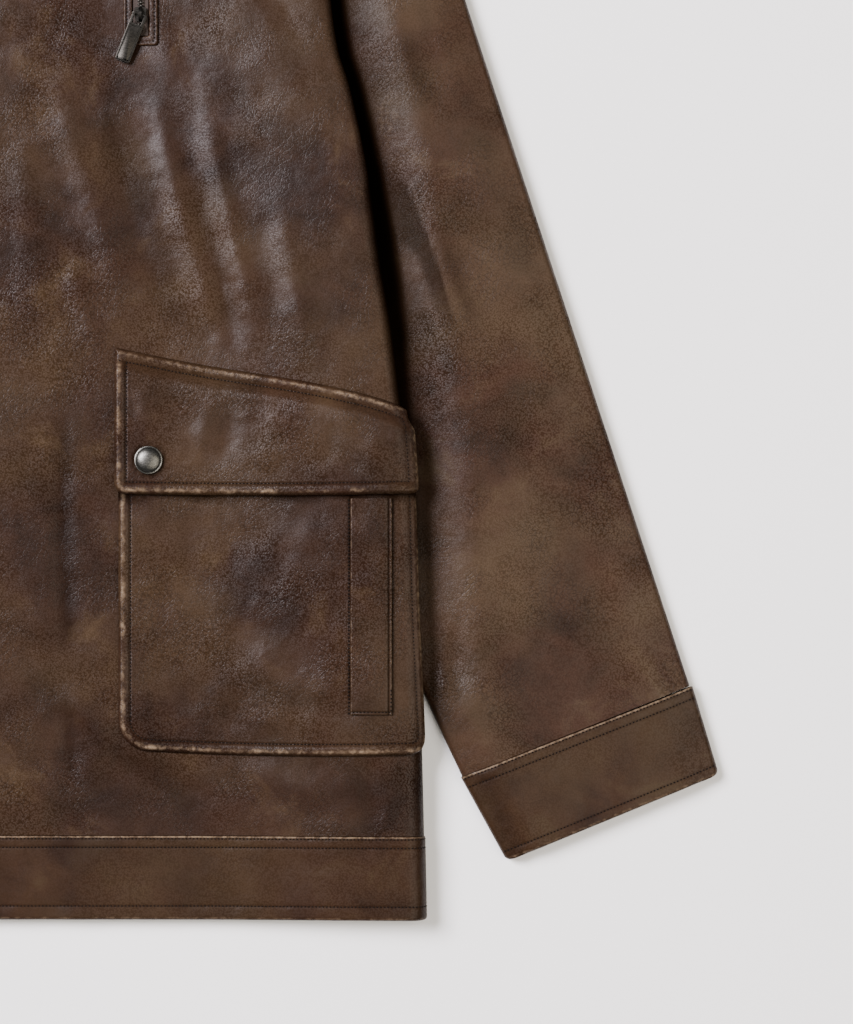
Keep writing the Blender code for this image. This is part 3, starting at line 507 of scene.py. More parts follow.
def waxedLeather(name, look, seed):
    material, tree, shader = newMaterial(name)
    where = addNode(tree, "ShaderNodeTexCoord").outputs["Object"]
    away = (seed, seed * 1.7, seed * 0.6)
    spot = addNode(tree, "ShaderNodeMapping", {"Location": away}, {"Vector": where}).outputs["Vector"]
    noises = {}
    for key, (size, detail, roughness, distortion) in look["noises"].items():
        values = {"Scale": 1 / size, "Detail": detail, "Roughness": roughness, "Distortion": distortion}
        noises[key] = addNode(tree, "ShaderNodeTexNoise", values, {"Vector": spot})

    # Places nudged by noises, so that cracks and grain don't run straight
    centred = addNode(tree, "ShaderNodeVectorMath", {1: (0.5, 0.5, 0.5)},
                      {0: noises["bend"].outputs["Color"]}, operation="SUBTRACT")
    bent = addNode(tree, "ShaderNodeVectorMath", {1: (look["bendBy"],) * 3}, {0: centred.outputs[0], 2: spot},
                   operation="MULTIPLY_ADD")
    nudged = addNode(tree, "ShaderNodeVectorMath", {1: (look["grainBendBy"],) * 3},
                     {0: noises["grainBend"].outputs["Color"], 2: spot}, operation="MULTIPLY_ADD")
    tree.links.new(nudged.outputs[0], noises["redness"].inputs["Vector"])

    # Patches of wax, paler clouds and a ruddy tint
    wax = [(0.36, tone(look["dark"])), (0.56, tone(look["middle"])), (0.72, tone(look["khaki"]))]
    patches = addNode(tree, "ShaderNodeValToRGB", links={"Fac": noises["patches"].outputs["Fac"]}, stops=wax)
    clouds = addNode(tree, "ShaderNodeValToRGB", links={"Fac": noises["clouds"].outputs["Fac"]},
                     stops=[(0.42, grey(0)), (0.68, grey(0.75))])
    base = addNode(tree, "ShaderNodeMix", {7: tone(look["khaki"])},
                   {0: clouds.outputs["Color"], 6: patches.outputs["Color"]}, data_type="RGBA")
    redness = addNode(tree, "ShaderNodeValToRGB", links={"Fac": noises["redness"].outputs["Fac"]},
                      stops=[(0.50, grey(0)), (0.72, grey(0.55))])
    ruddy = addNode(tree, "ShaderNodeMix", {7: tone(look["red"])},
                    {0: redness.outputs["Color"], 6: base.outputs[2]}, data_type="RGBA")

    # Pores between the pebbles of the grain, deeper in some places than in others
    grain = addNode(tree, "ShaderNodeTexVoronoi", {"Scale": 1 / look["grainSize"]},
                    {"Vector": nudged.outputs[0]}, feature="F1").outputs["Distance"]
    uneven = addNode(tree, "ShaderNodeMath", {1: 0.5}, {0: noises["pores"].outputs["Fac"], 2: grain},
                     operation="MULTIPLY_ADD")
    pores = addNode(tree, "ShaderNodeValToRGB", links={"Fac": uneven.outputs[0]},
                    stops=[(0.62, grey(1.0)), (0.94, grey(0.04))]).outputs["Color"]
    wear = {"From Min": 0.38, "From Max": 0.62, "To Min": look["grain"] * 0.4, "To Max": look["grain"]}
    patchy = addNode(tree, "ShaderNodeMapRange", wear,
                     {"Value": noises["wear"].outputs["Fac"]}).outputs["Result"]
    pored = addNode(tree, "ShaderNodeMix", links={0: patchy, 6: ruddy.outputs[2], 7: pores},
                    data_type="RGBA", blend_type="MULTIPLY")

    # Cracks in the wax, in patches
    crack = addNode(tree, "ShaderNodeTexVoronoi", {"Scale": 1 / look["crackSize"]},
                    {"Vector": bent.outputs[0]}, feature="DISTANCE_TO_EDGE")
    crackLine = addNode(tree, "ShaderNodeValToRGB", links={"Fac": crack.outputs["Distance"]},
                        stops=[(0.0, grey(look["cracks"])), (0.13, grey(0))])
    crackWhere = addNode(tree, "ShaderNodeValToRGB", links={"Fac": noises["crackSpread"].outputs["Fac"]},
                         stops=[(0.43, grey(0)), (0.60, grey(0.9))])
    both = {0: crackLine.outputs["Color"], 1: crackWhere.outputs["Color"]}
    cracks = addNode(tree, "ShaderNodeMath", links=both, operation="MULTIPLY").outputs[0]
    cracked = addNode(tree, "ShaderNodeMix", {7: tone(look["crack"])}, {0: cracks, 6: pored.outputs[2]},
                      data_type="RGBA")

    # Pale tan in lumps at rubbed edges and at painted highlights, and painted shade
    wearAndHighlight = addNode(tree, "ShaderNodeAttribute", attribute_name="wearAndHighlight").outputs["Fac"]
    shaded = addNode(tree, "ShaderNodeAttribute", attribute_name="shaded").outputs["Fac"]
    lumps = noises["lumps"].outputs["Fac"]
    palenessLumps = addNode(tree, "ShaderNodeValToRGB", links={"Fac": lumps},
                      stops=[(0.42, grey(0.35)), (0.62, grey(1))])
    palenessAmount = addNode(tree, "ShaderNodeMath", links={0: palenessLumps.outputs["Color"], 1: wearAndHighlight},
                        operation="MULTIPLY")
    palenessRamp = addNode(tree, "ShaderNodeValToRGB", links={"Fac": palenessAmount.outputs[0]},
                      stops=[(0.10, grey(0)), (0.85, grey(0.9))])
    worn = addNode(tree, "ShaderNodeMix", {7: tone(look["wearAndHighlightTan"])},
                   {0: palenessRamp.outputs["Color"], 6: cracked.outputs[2]}, data_type="RGBA")
    deep = addNode(tree, "ShaderNodeMix", {7: tone(look["shade"])}, {0: shaded, 6: worn.outputs[2]},
                   data_type="RGBA")
    tree.links.new(deep.outputs[2], shader.inputs["Base Color"])

    # The sheen is uneven, goes out where shade is painted and breaks up at the pores
    smoothest, roughest = look["roughness"]
    gloss = addNode(tree, "ShaderNodeMapRange", {"To Min": smoothest, "To Max": roughest},
                    {"Value": noises["gloss"].outputs["Fac"]})
    tree.links.new(gloss.outputs["Result"], shader.inputs["Roughness"])
    lit = addNode(tree, "ShaderNodeMapRange", {"From Max": 0.75, "To Min": look["specular"], "To Max": 0.0},
                  {"Value": shaded})
    often = addNode(tree, "ShaderNodeMath", {1: 3.2}, {0: patchy}, operation="MULTIPLY", use_clamp=True)
    broken = addNode(tree, "ShaderNodeMix", {2: 1.0}, {0: often.outputs[0], 3: pores})
    glint = addNode(tree, "ShaderNodeMath", links={0: lit.outputs["Result"], 1: broken.outputs[0]},
                    operation="MULTIPLY")
    tree.links.new(glint.outputs[0], shader.inputs["Specular IOR Level"])

    # Relief from soft wrinkles down to the grain: strength or its source, depth, height, inverted
    links = {}
    for strength, depth, height, inverted in (
        (0.30, 0.0010, noises["wrinkles"].outputs["Fac"], False),
        (0.5, 0.0003, cracks, True),
        (look["grain"], 0.0002, noises["fine"].outputs["Fac"], False),
        (patchy, 0.0002, grain, True),
        (wearAndHighlight, 0.0008, lumps, False),
    ):
        values = {"Distance": depth}
        side = values if isinstance(strength, float) else links
        side["Strength"] = strength
        links["Height"] = height
        bump = addNode(tree, "ShaderNodeBump", values, links, invert=inverted)
        links = {"Normal": bump.outputs["Normal"]}
    tree.links.new(links["Normal"], shader.inputs["Normal"])
    return material


# Waxed sewing thread, twisted: nearly matt, with a lighter and a darker side painted on each twist as light
# and shade
threadLook = {
    "dark": "#050201", "light": "#0e0704", "twistsPerMetre": 900.0, "roughness": 0.8, "specular": 0.12,
}


def twistedThread(name, look):
    material, tree, shader = newMaterial(name)
    where = addNode(tree, "ShaderNodeTexCoord").outputs["Object"]
    twist = addNode(tree, "ShaderNodeTexNoise", {"Scale": look["twistsPerMetre"], "Detail": 2.0},
                    {"Vector": where})
    shades = addNode(tree, "ShaderNodeValToRGB", links={"Fac": twist.outputs["Fac"]},
                     stops=[(0.3, tone(look["dark"])), (0.7, tone(look["light"]))])
    tree.links.new(shades.outputs["Color"], shader.inputs["Base Color"])
    shader.inputs["Roughness"].default_value = look["roughness"]
    shader.inputs["Specular IOR Level"].default_value = look["specular"]
    return material


# Zinc, nickel plated, darkened in an antique bath and brushed bright again: soft grey streaks
nickelLook = {
    "bright": "#66655f", "dark": "#232220", "roughness": 0.34,
    "linesPerMetre": 420.0, "brush": (1.0, 9.0, 9.0),
}


def antiqueNickel(name, look):
    material, tree, shader = newMaterial(name)
    where = addNode(tree, "ShaderNodeTexCoord").outputs["Object"]
    stretched = addNode(tree, "ShaderNodeMapping", {"Scale": look["brush"]}, {"Vector": where})
    lines = {"Scale": look["linesPerMetre"], "Detail": 5.0, "Roughness": 0.7}
    brushing = addNode(tree, "ShaderNodeTexNoise", lines, {"Vector": stretched.outputs["Vector"]})
    tint = addNode(tree, "ShaderNodeValToRGB", links={"Fac": brushing.outputs["Fac"]},
                   stops=[(0.30, tone(look["dark"])), (0.62, tone(look["bright"]))])
    tree.links.new(tint.outputs["Color"], shader.inputs["Base Color"])
    spread = {"To Min": look["roughness"] - 0.08, "To Max": look["roughness"] + 0.12}
    rough = addNode(tree, "ShaderNodeMapRange", spread, {"Value": brushing.outputs["Fac"]})
    tree.links.new(rough.outputs["Result"], shader.inputs["Roughness"])
    scratches = addNode(tree, "ShaderNodeBump", {"Strength": 0.25, "Distance": 0.0001},
                        {"Height": brushing.outputs["Fac"]})
    tree.links.new(scratches.outputs["Normal"], shader.inputs["Normal"])
    shader.inputs["Metallic"].default_value = 1.0
    return material


# Woven polyester zip tape: matt brown, its threads drawn coarser than real ones so that they show
tapeLook = {"dark": "#1c140f", "light": "#30231a", "threadsPerMetre": 700.0, "roughness": 0.85}


def wovenTape(name, look):
    material, tree, shader = newMaterial(name)
    where = addNode(tree, "ShaderNodeTexCoord").outputs["Object"]
    threads = addNode(tree, "ShaderNodeTexWave", {"Scale": look["threadsPerMetre"], "Distortion": 1.0},
                      {"Vector": where}, bands_direction="DIAGONAL")
    shades = addNode(tree, "ShaderNodeValToRGB", links={"Fac": threads.outputs["Fac"]},
                     stops=[(0.2, tone(look["dark"])), (0.8, tone(look["light"]))])
    tree.links.new(shades.outputs["Color"], shader.inputs["Base Color"])
    shader.inputs["Roughness"].default_value = look["roughness"]
    weave = addNode(tree, "ShaderNodeBump", {"Strength": 0.5, "Distance": 0.0002},
                    {"Height": threads.outputs["Fac"]})
    tree.links.new(weave.outputs["Normal"], shader.inputs["Normal"])
    return material


# Pale painted board for the floor: matt, off-white, with hardly a cloud in it
boardLook = {"dark": "#f1f0ee", "light": "#f5f4f2", "cloudsPerMetre": 3.0, "roughness": 0.9}


def paleBoard(name, look):
    material, tree, shader = newMaterial(name)
    where = addNode(tree, "ShaderNodeTexCoord").outputs["Object"]
    cloud = addNode(tree, "ShaderNodeTexNoise", {"Scale": look["cloudsPerMetre"], "Detail": 2.0},
                    {"Vector": where})
    shades = addNode(tree, "ShaderNodeValToRGB", links={"Fac": cloud.outputs["Fac"]},
                     stops=[(0.3, tone(look["dark"])), (0.7, tone(look["light"]))])
    tree.links.new(shades.outputs["Color"], shader.inputs["Base Color"])
    shader.inputs["Roughness"].default_value = look["roughness"]
    return material


# The sleeves are more worn than the body, and the turned bands smoother
sleeveLook = {**leatherLook, "dark": "#21150d", "middle": "#2e1e15", "khaki": "#3d3022", "red": "#322016"}
bandLook = {
    **leatherLook, "dark": "#1f120a", "middle": "#2a1b10", "khaki": "#322618", "red": "#2a1b12",
    "grain": 0.18, "cracks": 0.15,
}
leather = waxedLeather("waxed cowhide", leatherLook, 0.0)
bandLeather = waxedLeather("waxed cowhide of the bands", bandLook, 1.3)
sleeveLeather = waxedLeather("waxed cowhide of the sleeves", sleeveLook, 3.1)
pocketLeather = waxedLeather("waxed cowhide of the pockets", leatherLook, 7.4)
thread = twistedThread("waxed brown thread", threadLook)
nickel = antiqueNickel("antique nickel plate", nickelLook)
zipLook = {**nickelLook, "bright": "#35332f", "dark": "#141312", "roughness": 0.36}
darkNickel = antiqueNickel("dark nickel of the zip", zipLook)
tape = wovenTape("woven polyester tape", tapeLook)
print("materials made")

# Camera, straight down on the photo's part of the coat, and soft light

view = {"distance": 2.4, "middle": (426.5, 512.0), "frame": (853, 1024), "sensor": 36.0}


def photoPlace(column, row):
    x = (column - coat["centrePixel"]) * coat["pixel"]
    y = (coat["hemPixel"] - row) * coat["pixel"]
    return Vector((x, y - halfLength, 0))


def setCamera():
    camera = bpy.data.cameras.new("camera")
    camera.sensor_width = view["sensor"]
    longSide = view["frame"][1] * coat["pixel"]
    reach = view["distance"] - body["height"]
    camera.lens = view["sensor"] * reach / longSide
    holder = bpy.data.objects.new("camera", camera)
    holder.location = photoPlace(*view["middle"]) + Vector((0, 0, view["distance"]))
    bpy.context.scene.collection.objects.link(holder)
    bpy.context.scene.camera = holder


# Lights: name, place, size, watts, colour
lights = [
    ("key", (-1.95, 1.00, 2.60), 1.70, 450.0, "#fbf7ff"),
    ("fill", (1.5, -0.6, 2.1), 2.4, 75.0, "#fff6ea"),
]
room = {"colour": "#f2f3f5", "strength": 0.22, "floorSize": 4, "floorZ": -0.0004}


def setLights():
    target = photoPlace(*view["middle"])
    for name, place, size, watts, colour in lights:
        lamp = bpy.data.lights.new(name, "AREA")
        lamp.shape = "SQUARE"
        lamp.size = size
        lamp.energy = watts
        lamp.color = tone(colour)[:3]
        holder = bpy.data.objects.new(name, lamp)
        holder.location = place
        holder.rotation_mode = "QUATERNION"
        holder.rotation_quaternion = (target - Vector(place)).to_track_quat("-Z", "Y")
        bpy.context.scene.collection.objects.link(holder)
    world = bpy.data.worlds.new("pale room")
    world.use_nodes = True
    back = world.node_tree.nodes["Background"]
    back.inputs["Color"].default_value = tone(room["colour"])
    back.inputs["Strength"].default_value = room["strength"]
    bpy.context.scene.world = world


def layFloor():
    bm = bmesh.new()
    bmesh.ops.create_grid(bm, x_segments=1, y_segments=1, size=room["floorSize"])
    bmesh.ops.translate(bm, verts=bm.verts, vec=(0, 0, room["floorZ"]))
    mesh = bpy.data.meshes.new("floor")
    bm.to_mesh(mesh)
    bm.free()
    showMesh("floor", mesh, paleBoard("pale board", boardLook))


setCamera()
setLights()
layFloor()
print("camera, light and floor set")

# Fronts

fronts = {
    "grid": 0.0027, "width": 0.26, "soft": (0.021, 0.0005), "fine": (0.008, 0.00018),
    "clearLeft": 0.097, "clearBottom": 0.092, "clearTop": 0.350, "clearSlope": 0.17, "clearEdge": 0.008,
    "bendFrom": 0.50, "palenessPerRise": 30, "mostPaleness": 0.12,
}


def frontRelief(x, y, seed=0.0):
    rise = softness(x, y, *fronts["soft"], seed) + softness(x, y, *fronts["fine"], seed + 5)
    return rise + creaseRise(frontCreases, x, y)


# The pockets lie on the front, so its own small relief stops under them
def frontClear(x, y):
    edge = fronts["clearEdge"]
    below = fronts["clearTop"] - y - fronts["clearSlope"] * (x - 0.1)
    beside = smooth((x - fronts["clearLeft"]) / edge) * smooth((y - fronts["clearBottom"]) / edge)
    return 1 - beside * smooth(below / edge)


def makeFront(name, start, under, seed, material):
    topEnd = bodyEdge(coat["shoulderY"]) - sideRadius(coat["shoulderY"])
    rounding = body["shoulderRound"]
    lineY = coat["shoulderY"]

    def spot(u, v):
        ySide = min(v, lineY)
        turn = max(v - lineY, 0.0) / rounding
        bend = smooth((ySide - fronts["bendFrom"]) / (lineY - fronts["bendFrom"]))
        edge, radius = bodyEdge(ySide), sideRadius(ySide)
        if u <= 1:
            x, topX = mix(start, edge - radius, u), mix(start, topEnd, u)
            inNeck = topX < coat["neckHalf"]
            topY = frontNeck(topX) if inNeck else shoulderLine(topX)
            y = ySide + (topY - rounding - lineY) * bend if v < lineY else topY - rounding
            z = frontHeight(x, y, under) + frontRelief(x, y, seed) * frontClear(x, y)
        else:
            relief = frontRelief(edge - radius, ySide, seed) * frontClear(edge - radius, ySide)
            x, z = sidePoint(ySide, u - 1, relief * (1 - smooth((u - 1) / 0.7)))
            inNeck, topY, y = False, lineY, ySide - rounding * bend
        if turn > 0:
            if inNeck:
                y = topY - rounding * (1 - turn)
            else:
                y = topY - rounding + rounding * min(sin(turn * pi / 2) * 1.12, 1.0)
                z = mix(z, body["shoulderSeamZ"], 1 - sqrt(max(1 - turn * turn, 0.0)))
        return Vector((x, y, z)), crestPaleness(x, y), max(sideShade(u, y), hollowShade(frontHollows, x, y))

    across = places(0.0, fronts["grid"] / fronts["width"], 1.0, 0.1, 2.0)
    along = places(coat["hemDepth"] + gap, fronts["grid"], lineY, rounding / 6, lineY + rounding)
    return layCloth(name, across, along, spot, material, coat["wall"], mirrored=under)


# The crests of the folds are a little paler: partly rubbed wear, partly a painted highlight
def crestPaleness(x, y):
    paleness = foldRise(min(x, bodyEdge(y)), y) * fronts["palenessPerRise"]
    return min(max(paleness, 0.0), fronts["mostPaleness"])


# Painted shade on the side, where it turns in under the body into a dark gap; less of it towards the hem
def sideShade(u, y):
    return mix(0.30, 0.9, smooth((y - 0.13) / 0.06)) * smooth((u - 1.0) / 0.7)


for name, start, under, seed in (
    ("front_left", -coat["overlapLeft"], False, 0.0),
    ("front_right", -coat["overlapRight"], True, 40.0),
):
    piece = makeFront(name + "_leather", start, under, seed, leather)
    finishPiece(piece, "coat", "leather", name)
print("fronts laid")

# Back, with its face underneath. Beside the sleeves it rises over a ramp, so that their inner
# folds lie under it.

backShape = {
    "tuckLow": 0.10, "tuckHigh": 0.447,     # heights between which a sleeve lies under the back
    "ramp": 0.012, "clear": 0.018,          # width of the ramp, and how far it keeps from the sleeve
    "liftEnd": 0.4475, "liftFade": 0.0125, "armFrom": 0.433, "armFade": 0.0145, "armClear": 0.004,
    "seamShade": 0.7,
}


# The places across go from -4 to 4: flat to 1, the ramp to 2, raised to 3, then round the side
def backSpot(u, v):
    side = -1 if u < 0 else 1
    u = abs(u)
    edge, radius = bodyEdge(v), sideRadius(v)
    ramp = backShape["ramp"]
    yTuck = min(max(v, backShape["tuckLow"]), backShape["tuckHigh"])
    tucked = through(sleeve["inner"], yTuck)
    riseStart = min(tucked, bodyEdge(yTuck) - ramp) - backShape["clear"] - (bodyEdge(yTuck) - edge)
    lift = sideLow(v) * (1 - smooth((v - backShape["liftEnd"]) / backShape["liftFade"]))
    bend = smooth((v - fronts["bendFrom"]) / (coat["shoulderY"] - fronts["bendFrom"]))
    arm = smooth((v - backShape["armFrom"]) / backShape["armFade"])
    tuck = sleeve["mouthTuck"] + gap
    end = mix(edge - radius, edge - tuck - backShape["armClear"], arm)
    if u <= 1:
        x = mix(0.0, riseStart, u)
    elif u <= 2:
        x = riseStart + ramp * (u - 1)
    else:
        x = mix(riseStart + ramp, end, min(u - 2, 1.0))
    if u <= 3:
        topX = x * (coat["shoulderHalf"] / edge) if bend else x
        topY = backNeck(topX) if topX < coat["neckHalf"] else shoulderLine(topX)
        y = v + (topY - coat["shoulderY"]) * bend
        return Vector((side * x, y, lift * smooth((x - riseStart) / ramp))), 0.0, 0.0
    turn = u - 3
    crown = frontHeight(edge - radius, v)
    angle = pi - turn * (pi - body["wrap"] - gap / radius)
    roundX = edge - radius + radius * sin(angle)
    roundZ = crown - radius + radius * cos(angle)
    flatX = mix(end, edge - tuck, turn)
    place = Vector((side * mix(roundX, flatX, arm), v, mix(roundZ, lift, arm)))
    return place, 0.0, backShape["seamShade"] * turn


# Sleeve outlines as (y, x), and their heights
sleeve = {
    "outer": [
        (0.6740, 0.2315), (0.6722, 0.2450), (0.6655, 0.2580), (0.6535, 0.2695),
        (0.6365, 0.2790), (0.6145, 0.2889), (0.5225, 0.3190), (0.3840, 0.3643),
        (0.2445, 0.4100), (0.1405, 0.4441),
    ],
    "inner": [
        (0.4470, 0.2451), (0.4360, 0.2450), (0.4200, 0.2425), (0.4000, 0.2325),
        (0.3700, 0.2245), (0.3300, 0.2225), (0.2900, 0.2245), (0.2620, 0.2300),
        (0.2000, 0.2550), (0.1386, 0.2826), (0.0858, 0.3072),
    ],
    # The gap beside the body as (y, width) and (y, depth of the shade painted in it)
    "gapWidth": [
        (0.10, 0.004), (0.190, 0.004), (0.216, 0.005), (0.252, 0.007), (0.310, 0.009), (0.393, 0.015),
        (0.460, 0.0125), (0.55, 0.012),
    ],
    "gapDepth": [
        (0.125, 0.0), (0.168, 0.0), (0.192, 0.10), (0.216, 0.38), (0.252, 0.74), (0.330, 0.88),
        (0.400, 0.98), (0.55, 1.0),
    ],
    # The dent below the armpit as (y, x), in whose lee shade is painted on the sleeve
    "crease": [
        (0.490, 0.265), (0.454, 0.2695), (0.438, 0.2762), (0.413, 0.2864), (0.387, 0.2955),
        (0.360, 0.3040), (0.330, 0.3160),
    ],
    "mouthTuck": 0.0057, "mouthShare": 0.2, "height": 0.0135, "lowHeight": 0.0069, "besideHeight": 0.0092,
    "cuffHeight": 0.0115, "foldIn": 0.0045, "foldDrop": 0.0035, "foldShare": 0.16,
    "grid": 0.0026, "width": 0.19, "length": 0.59, "soft": (0.024, 0.0005), "fine": (0.009, 0.00018),
    "wornSpot": (0.2625, 0.480), "wornSize": (0.010, 0.024), "worn": 0.22,
    "leeShade": 0.58, "aroundShade": 0.45,
}

# Creases of the sleeve, as those of the fronts
sleeveCreases = [
    ((0.274, 0.458), (0.302, 0.376), 0.001, 0.0018, 0.004),
    ((0.283, 0.480), (0.335, 0.355), -0.004, 0.0026, 0.009),
    ((0.300, 0.500), (0.352, 0.420), 0.002, -0.0010, 0.008),
    ((0.285, 0.170), (0.300, 0.132), 0.001, 0.0014, 0.006),
    ((0.297, 0.230), (0.306, 0.130), 0.002, -0.0010, 0.006),
    ((0.330, 0.330), (0.400, 0.260), 0.004, 0.0008, 0.012),
    ((0.345, 0.250), (0.402, 0.190), 0.003, -0.0008, 0.010),
    ((0.318, 0.140), (0.360, 0.178), 0.003, 0.0009, 0.008),
]

columns = places(-4.0, 0.25, -3.0, 0.2, -2.0, 0.25, -1.0, 0.022, 1.0, 0.25, 2.0, 0.2, 3.0, 0.25, 4.0)
rows = places(coat["hemDepth"] + gap, 0.006, coat["shoulderY"])
piece = layCloth("back_leather", columns, rows, backSpot, leather, coat["wall"], facesDown=True)
finishPiece(piece, "coat", "leather", "back")
print("back laid")

# Sleeves

# Points at even steps along a smooth (y, x) line, with their distances
def alongPath(points, count=240):
    high, low = points[0][0], points[-1][0]
    path = []
    for i in range(count + 1):
        y = mix(high, low, i / count)
        path.append(Vector((through(points, y), y)))
    run = [0.0]
    for a, b in zip(path, path[1:]):
        run.append(run[-1] + (b - a).length)
    return path, run


def atFraction(path, t):
    points, run = path
    target = t * run[-1]
    k = 1
    while k < len(points) - 1 and run[k] < target:
        k += 1
    share = (target - run[k - 1]) / (run[k] - run[k - 1])
    return points[k - 1].lerp(points[k], min(max(share, 0.0), 1.0))


outerPath, innerPath = alongPath(sleeve["outer"]), alongPath(sleeve["inner"])


# A flattened tube is lower at its folded edges
def foldDrop(across):
    return (1 - smooth(across / sleeve["foldShare"])) * sleeve["foldDrop"]


def sleeveHeight(x, y, across, t):
    beside = smooth((y - 0.095) / 0.06)
    clear = x - bodyEdge(y)
    middle = mix(sleeve["height"], sleeve["cuffHeight"], smooth((t - 0.6) / 0.4))
    low = mix(sleeve["besideHeight"], sleeve["lowHeight"], beside)
    z = mix(middle, low, beside * (1 - smooth((clear - 0.005) / 0.036)))
    return max(z - foldDrop(across) - foldDrop(1 - across) * (1 - beside), sleeve["lowHeight"])


# Place on a flattened tube: loop 0 to 1 goes round the outer fold, to 2 over the top, to 3
# round the inner fold and to 4 back along the underside
def tubeSpot(outer, inner, loop, t, height, atMouth, relief):
    chord = (inner - outer).normalized()
    width = (inner - outer).length

    def place(distance):
        p = outer + chord * distance
        if atMouth and t < sleeve["mouthShare"]:
            mouth = bodyEdge(p.y) - sleeve["mouthTuck"]
            p.x += (mouth - p.x) * (1 - t / sleeve["mouthShare"]) ** 6
        return p

    def halfHeight(end, sign):
        distance = end + sign * sleeve["foldIn"]
        inside = place(distance)
        return height(inside.x, inside.y, distance / width, t) / 2

    outerHalf, innerHalf = halfHeight(0.0, 1), halfHeight(width, -1)
    if loop <= 1:
        angle = pi * (loop - 0.5)
        p = place(outerHalf * (1 - cos(angle)))
        return Vector((p.x, p.y, outerHalf * (1 + sin(angle)))), 0.0
    if loop <= 2:
        across = loop - 1
        distance = mix(outerHalf, width - innerHalf, across)
        p = place(distance)
        ends = smooth(across / 0.06) * smooth((1 - across) / 0.06)
        z = height(p.x, p.y, distance / width, t)
        plain = mix(outerHalf * 2, innerHalf * 2, 0 if across < 0.5 else 1)
        z = mix(plain, z, smooth(min(across, 1 - across) / 0.03))
        return Vector((p.x, p.y, z + relief(p.x, p.y) * ends)), across
    if loop <= 3:
        angle = pi * (2.5 - loop)
        p = place(width - innerHalf * (1 - cos(angle)))
        return Vector((p.x, p.y, innerHalf * (1 + sin(angle)))), 1.0
    p = place(mix(width - innerHalf, outerHalf, loop - 3))
    return Vector((p.x, p.y, 0.0)), 1.0


# Painted shade in the gap beside the body, and softer painted shade around it
def gapShade(point):
    clear = point.x - bodyEdge(point.y)
    depth = through(sleeve["gapDepth"], point.y)
    core = depth * (1 - smooth((clear - through(sleeve["gapWidth"], point.y) + 0.008) / 0.012))
    around = sleeve["aroundShade"] * depth * (1 - smooth((clear - 0.004) / 0.042))
    return max(core, around)


# Painted shade in the lee of the dent below the armpit
def leeShade(point):
    ends = smooth((point.y - 0.335) / 0.05) * smooth((0.480 - point.y) / 0.045)
    behind = through(sleeve["crease"], point.y) - point.x
    reach = mix(0.008, 0.030, smooth((point.y - 0.395) / 0.03))
    inside = smooth((behind + 0.001) / 0.003) * (1 - smooth((behind - reach) / 0.009))
    return sleeve["leeShade"] * ends * inside


def makeSleeve(name, mirrored, seed):
    def relief(x, y):
        rise = softness(x, y, *sleeve["soft"], seed) + softness(x, y, *sleeve["fine"], seed + 3)
        rise += creaseRise(sleeveCreases, x, y)
        return rise * smooth((x - bodyEdge(y) - 0.004) / 0.012 + (0.14 - y) / 0.03)

    def spot(loop, t):
        outer, inner = atFraction(outerPath, t), atFraction(innerPath, t)
        point, across = tubeSpot(outer, inner, loop, t, sleeveHeight, True, relief)
        # A pale tan patch on the sleeve's top: a painted highlight in the tan of rubbed wear
        (spotX, spotY), (spotWide, spotTall) = sleeve["wornSpot"], sleeve["wornSize"]
        worn = sleeve["worn"] * bell(point.x - spotX, spotWide) * bell(point.y - spotY, spotTall)
        paleness = worn if 1 < loop < 2 else 0.0
        return point, paleness, max(gapShade(point), leeShade(point), hollowShade(sleeveHollows, point.x, point.y))

    loops = places(0.0, 0.125, 1.0, sleeve["grid"] / sleeve["width"], 2.0, 0.125, 3.0, 0.07, 4.0)
    rings = places(0.0, sleeve["grid"] / sleeve["length"], 1.0)
    return layCloth(name, loops, rings, spot, sleeveLeather, coat["wall"], closed=True, mirrored=mirrored)


for side, mirrored in (("left", False), ("right", True)):
    piece = makeSleeve("sleeve_%s_leather" % side, mirrored, 11.0 if mirrored else 20.0)
    finishPiece(piece, "coat", "leather", "sleeve_" + side)
print("sleeves laid")

# Cuffs, turned and sewn with three rows

cuff = {
    "outer": [Vector((0.4459, 0.1402)), Vector((0.4618, 0.0872))],
    "inner": [Vector((0.3065, 0.0853)), Vector((0.3342, 0.0348))],
    "step": 0.0009, "length": 0.055, "rows": (0.0014, 0.0068, 0.0490), "edgeRound": 0.0022, "corner": 0.0036,
    "grid": 0.0022, "width": 0.15, "soft": (0.016, 0.0004, 31), "fine": (0.005, 0.0001, 7),
}


def cuffHeight(x, y, across, t):
    return sleeve["cuffHeight"] + cuff["step"] - 0.001 * t - foldDrop(across) - foldDrop(1 - across)


# Fall of the face towards an edge that is turned in
def turnedEdge(distance, radius, height):
    if distance >= radius:
        return 0.0
    return -height * (1 - sqrt(max(1 - (1 - distance / radius) ** 2, 0.0)))


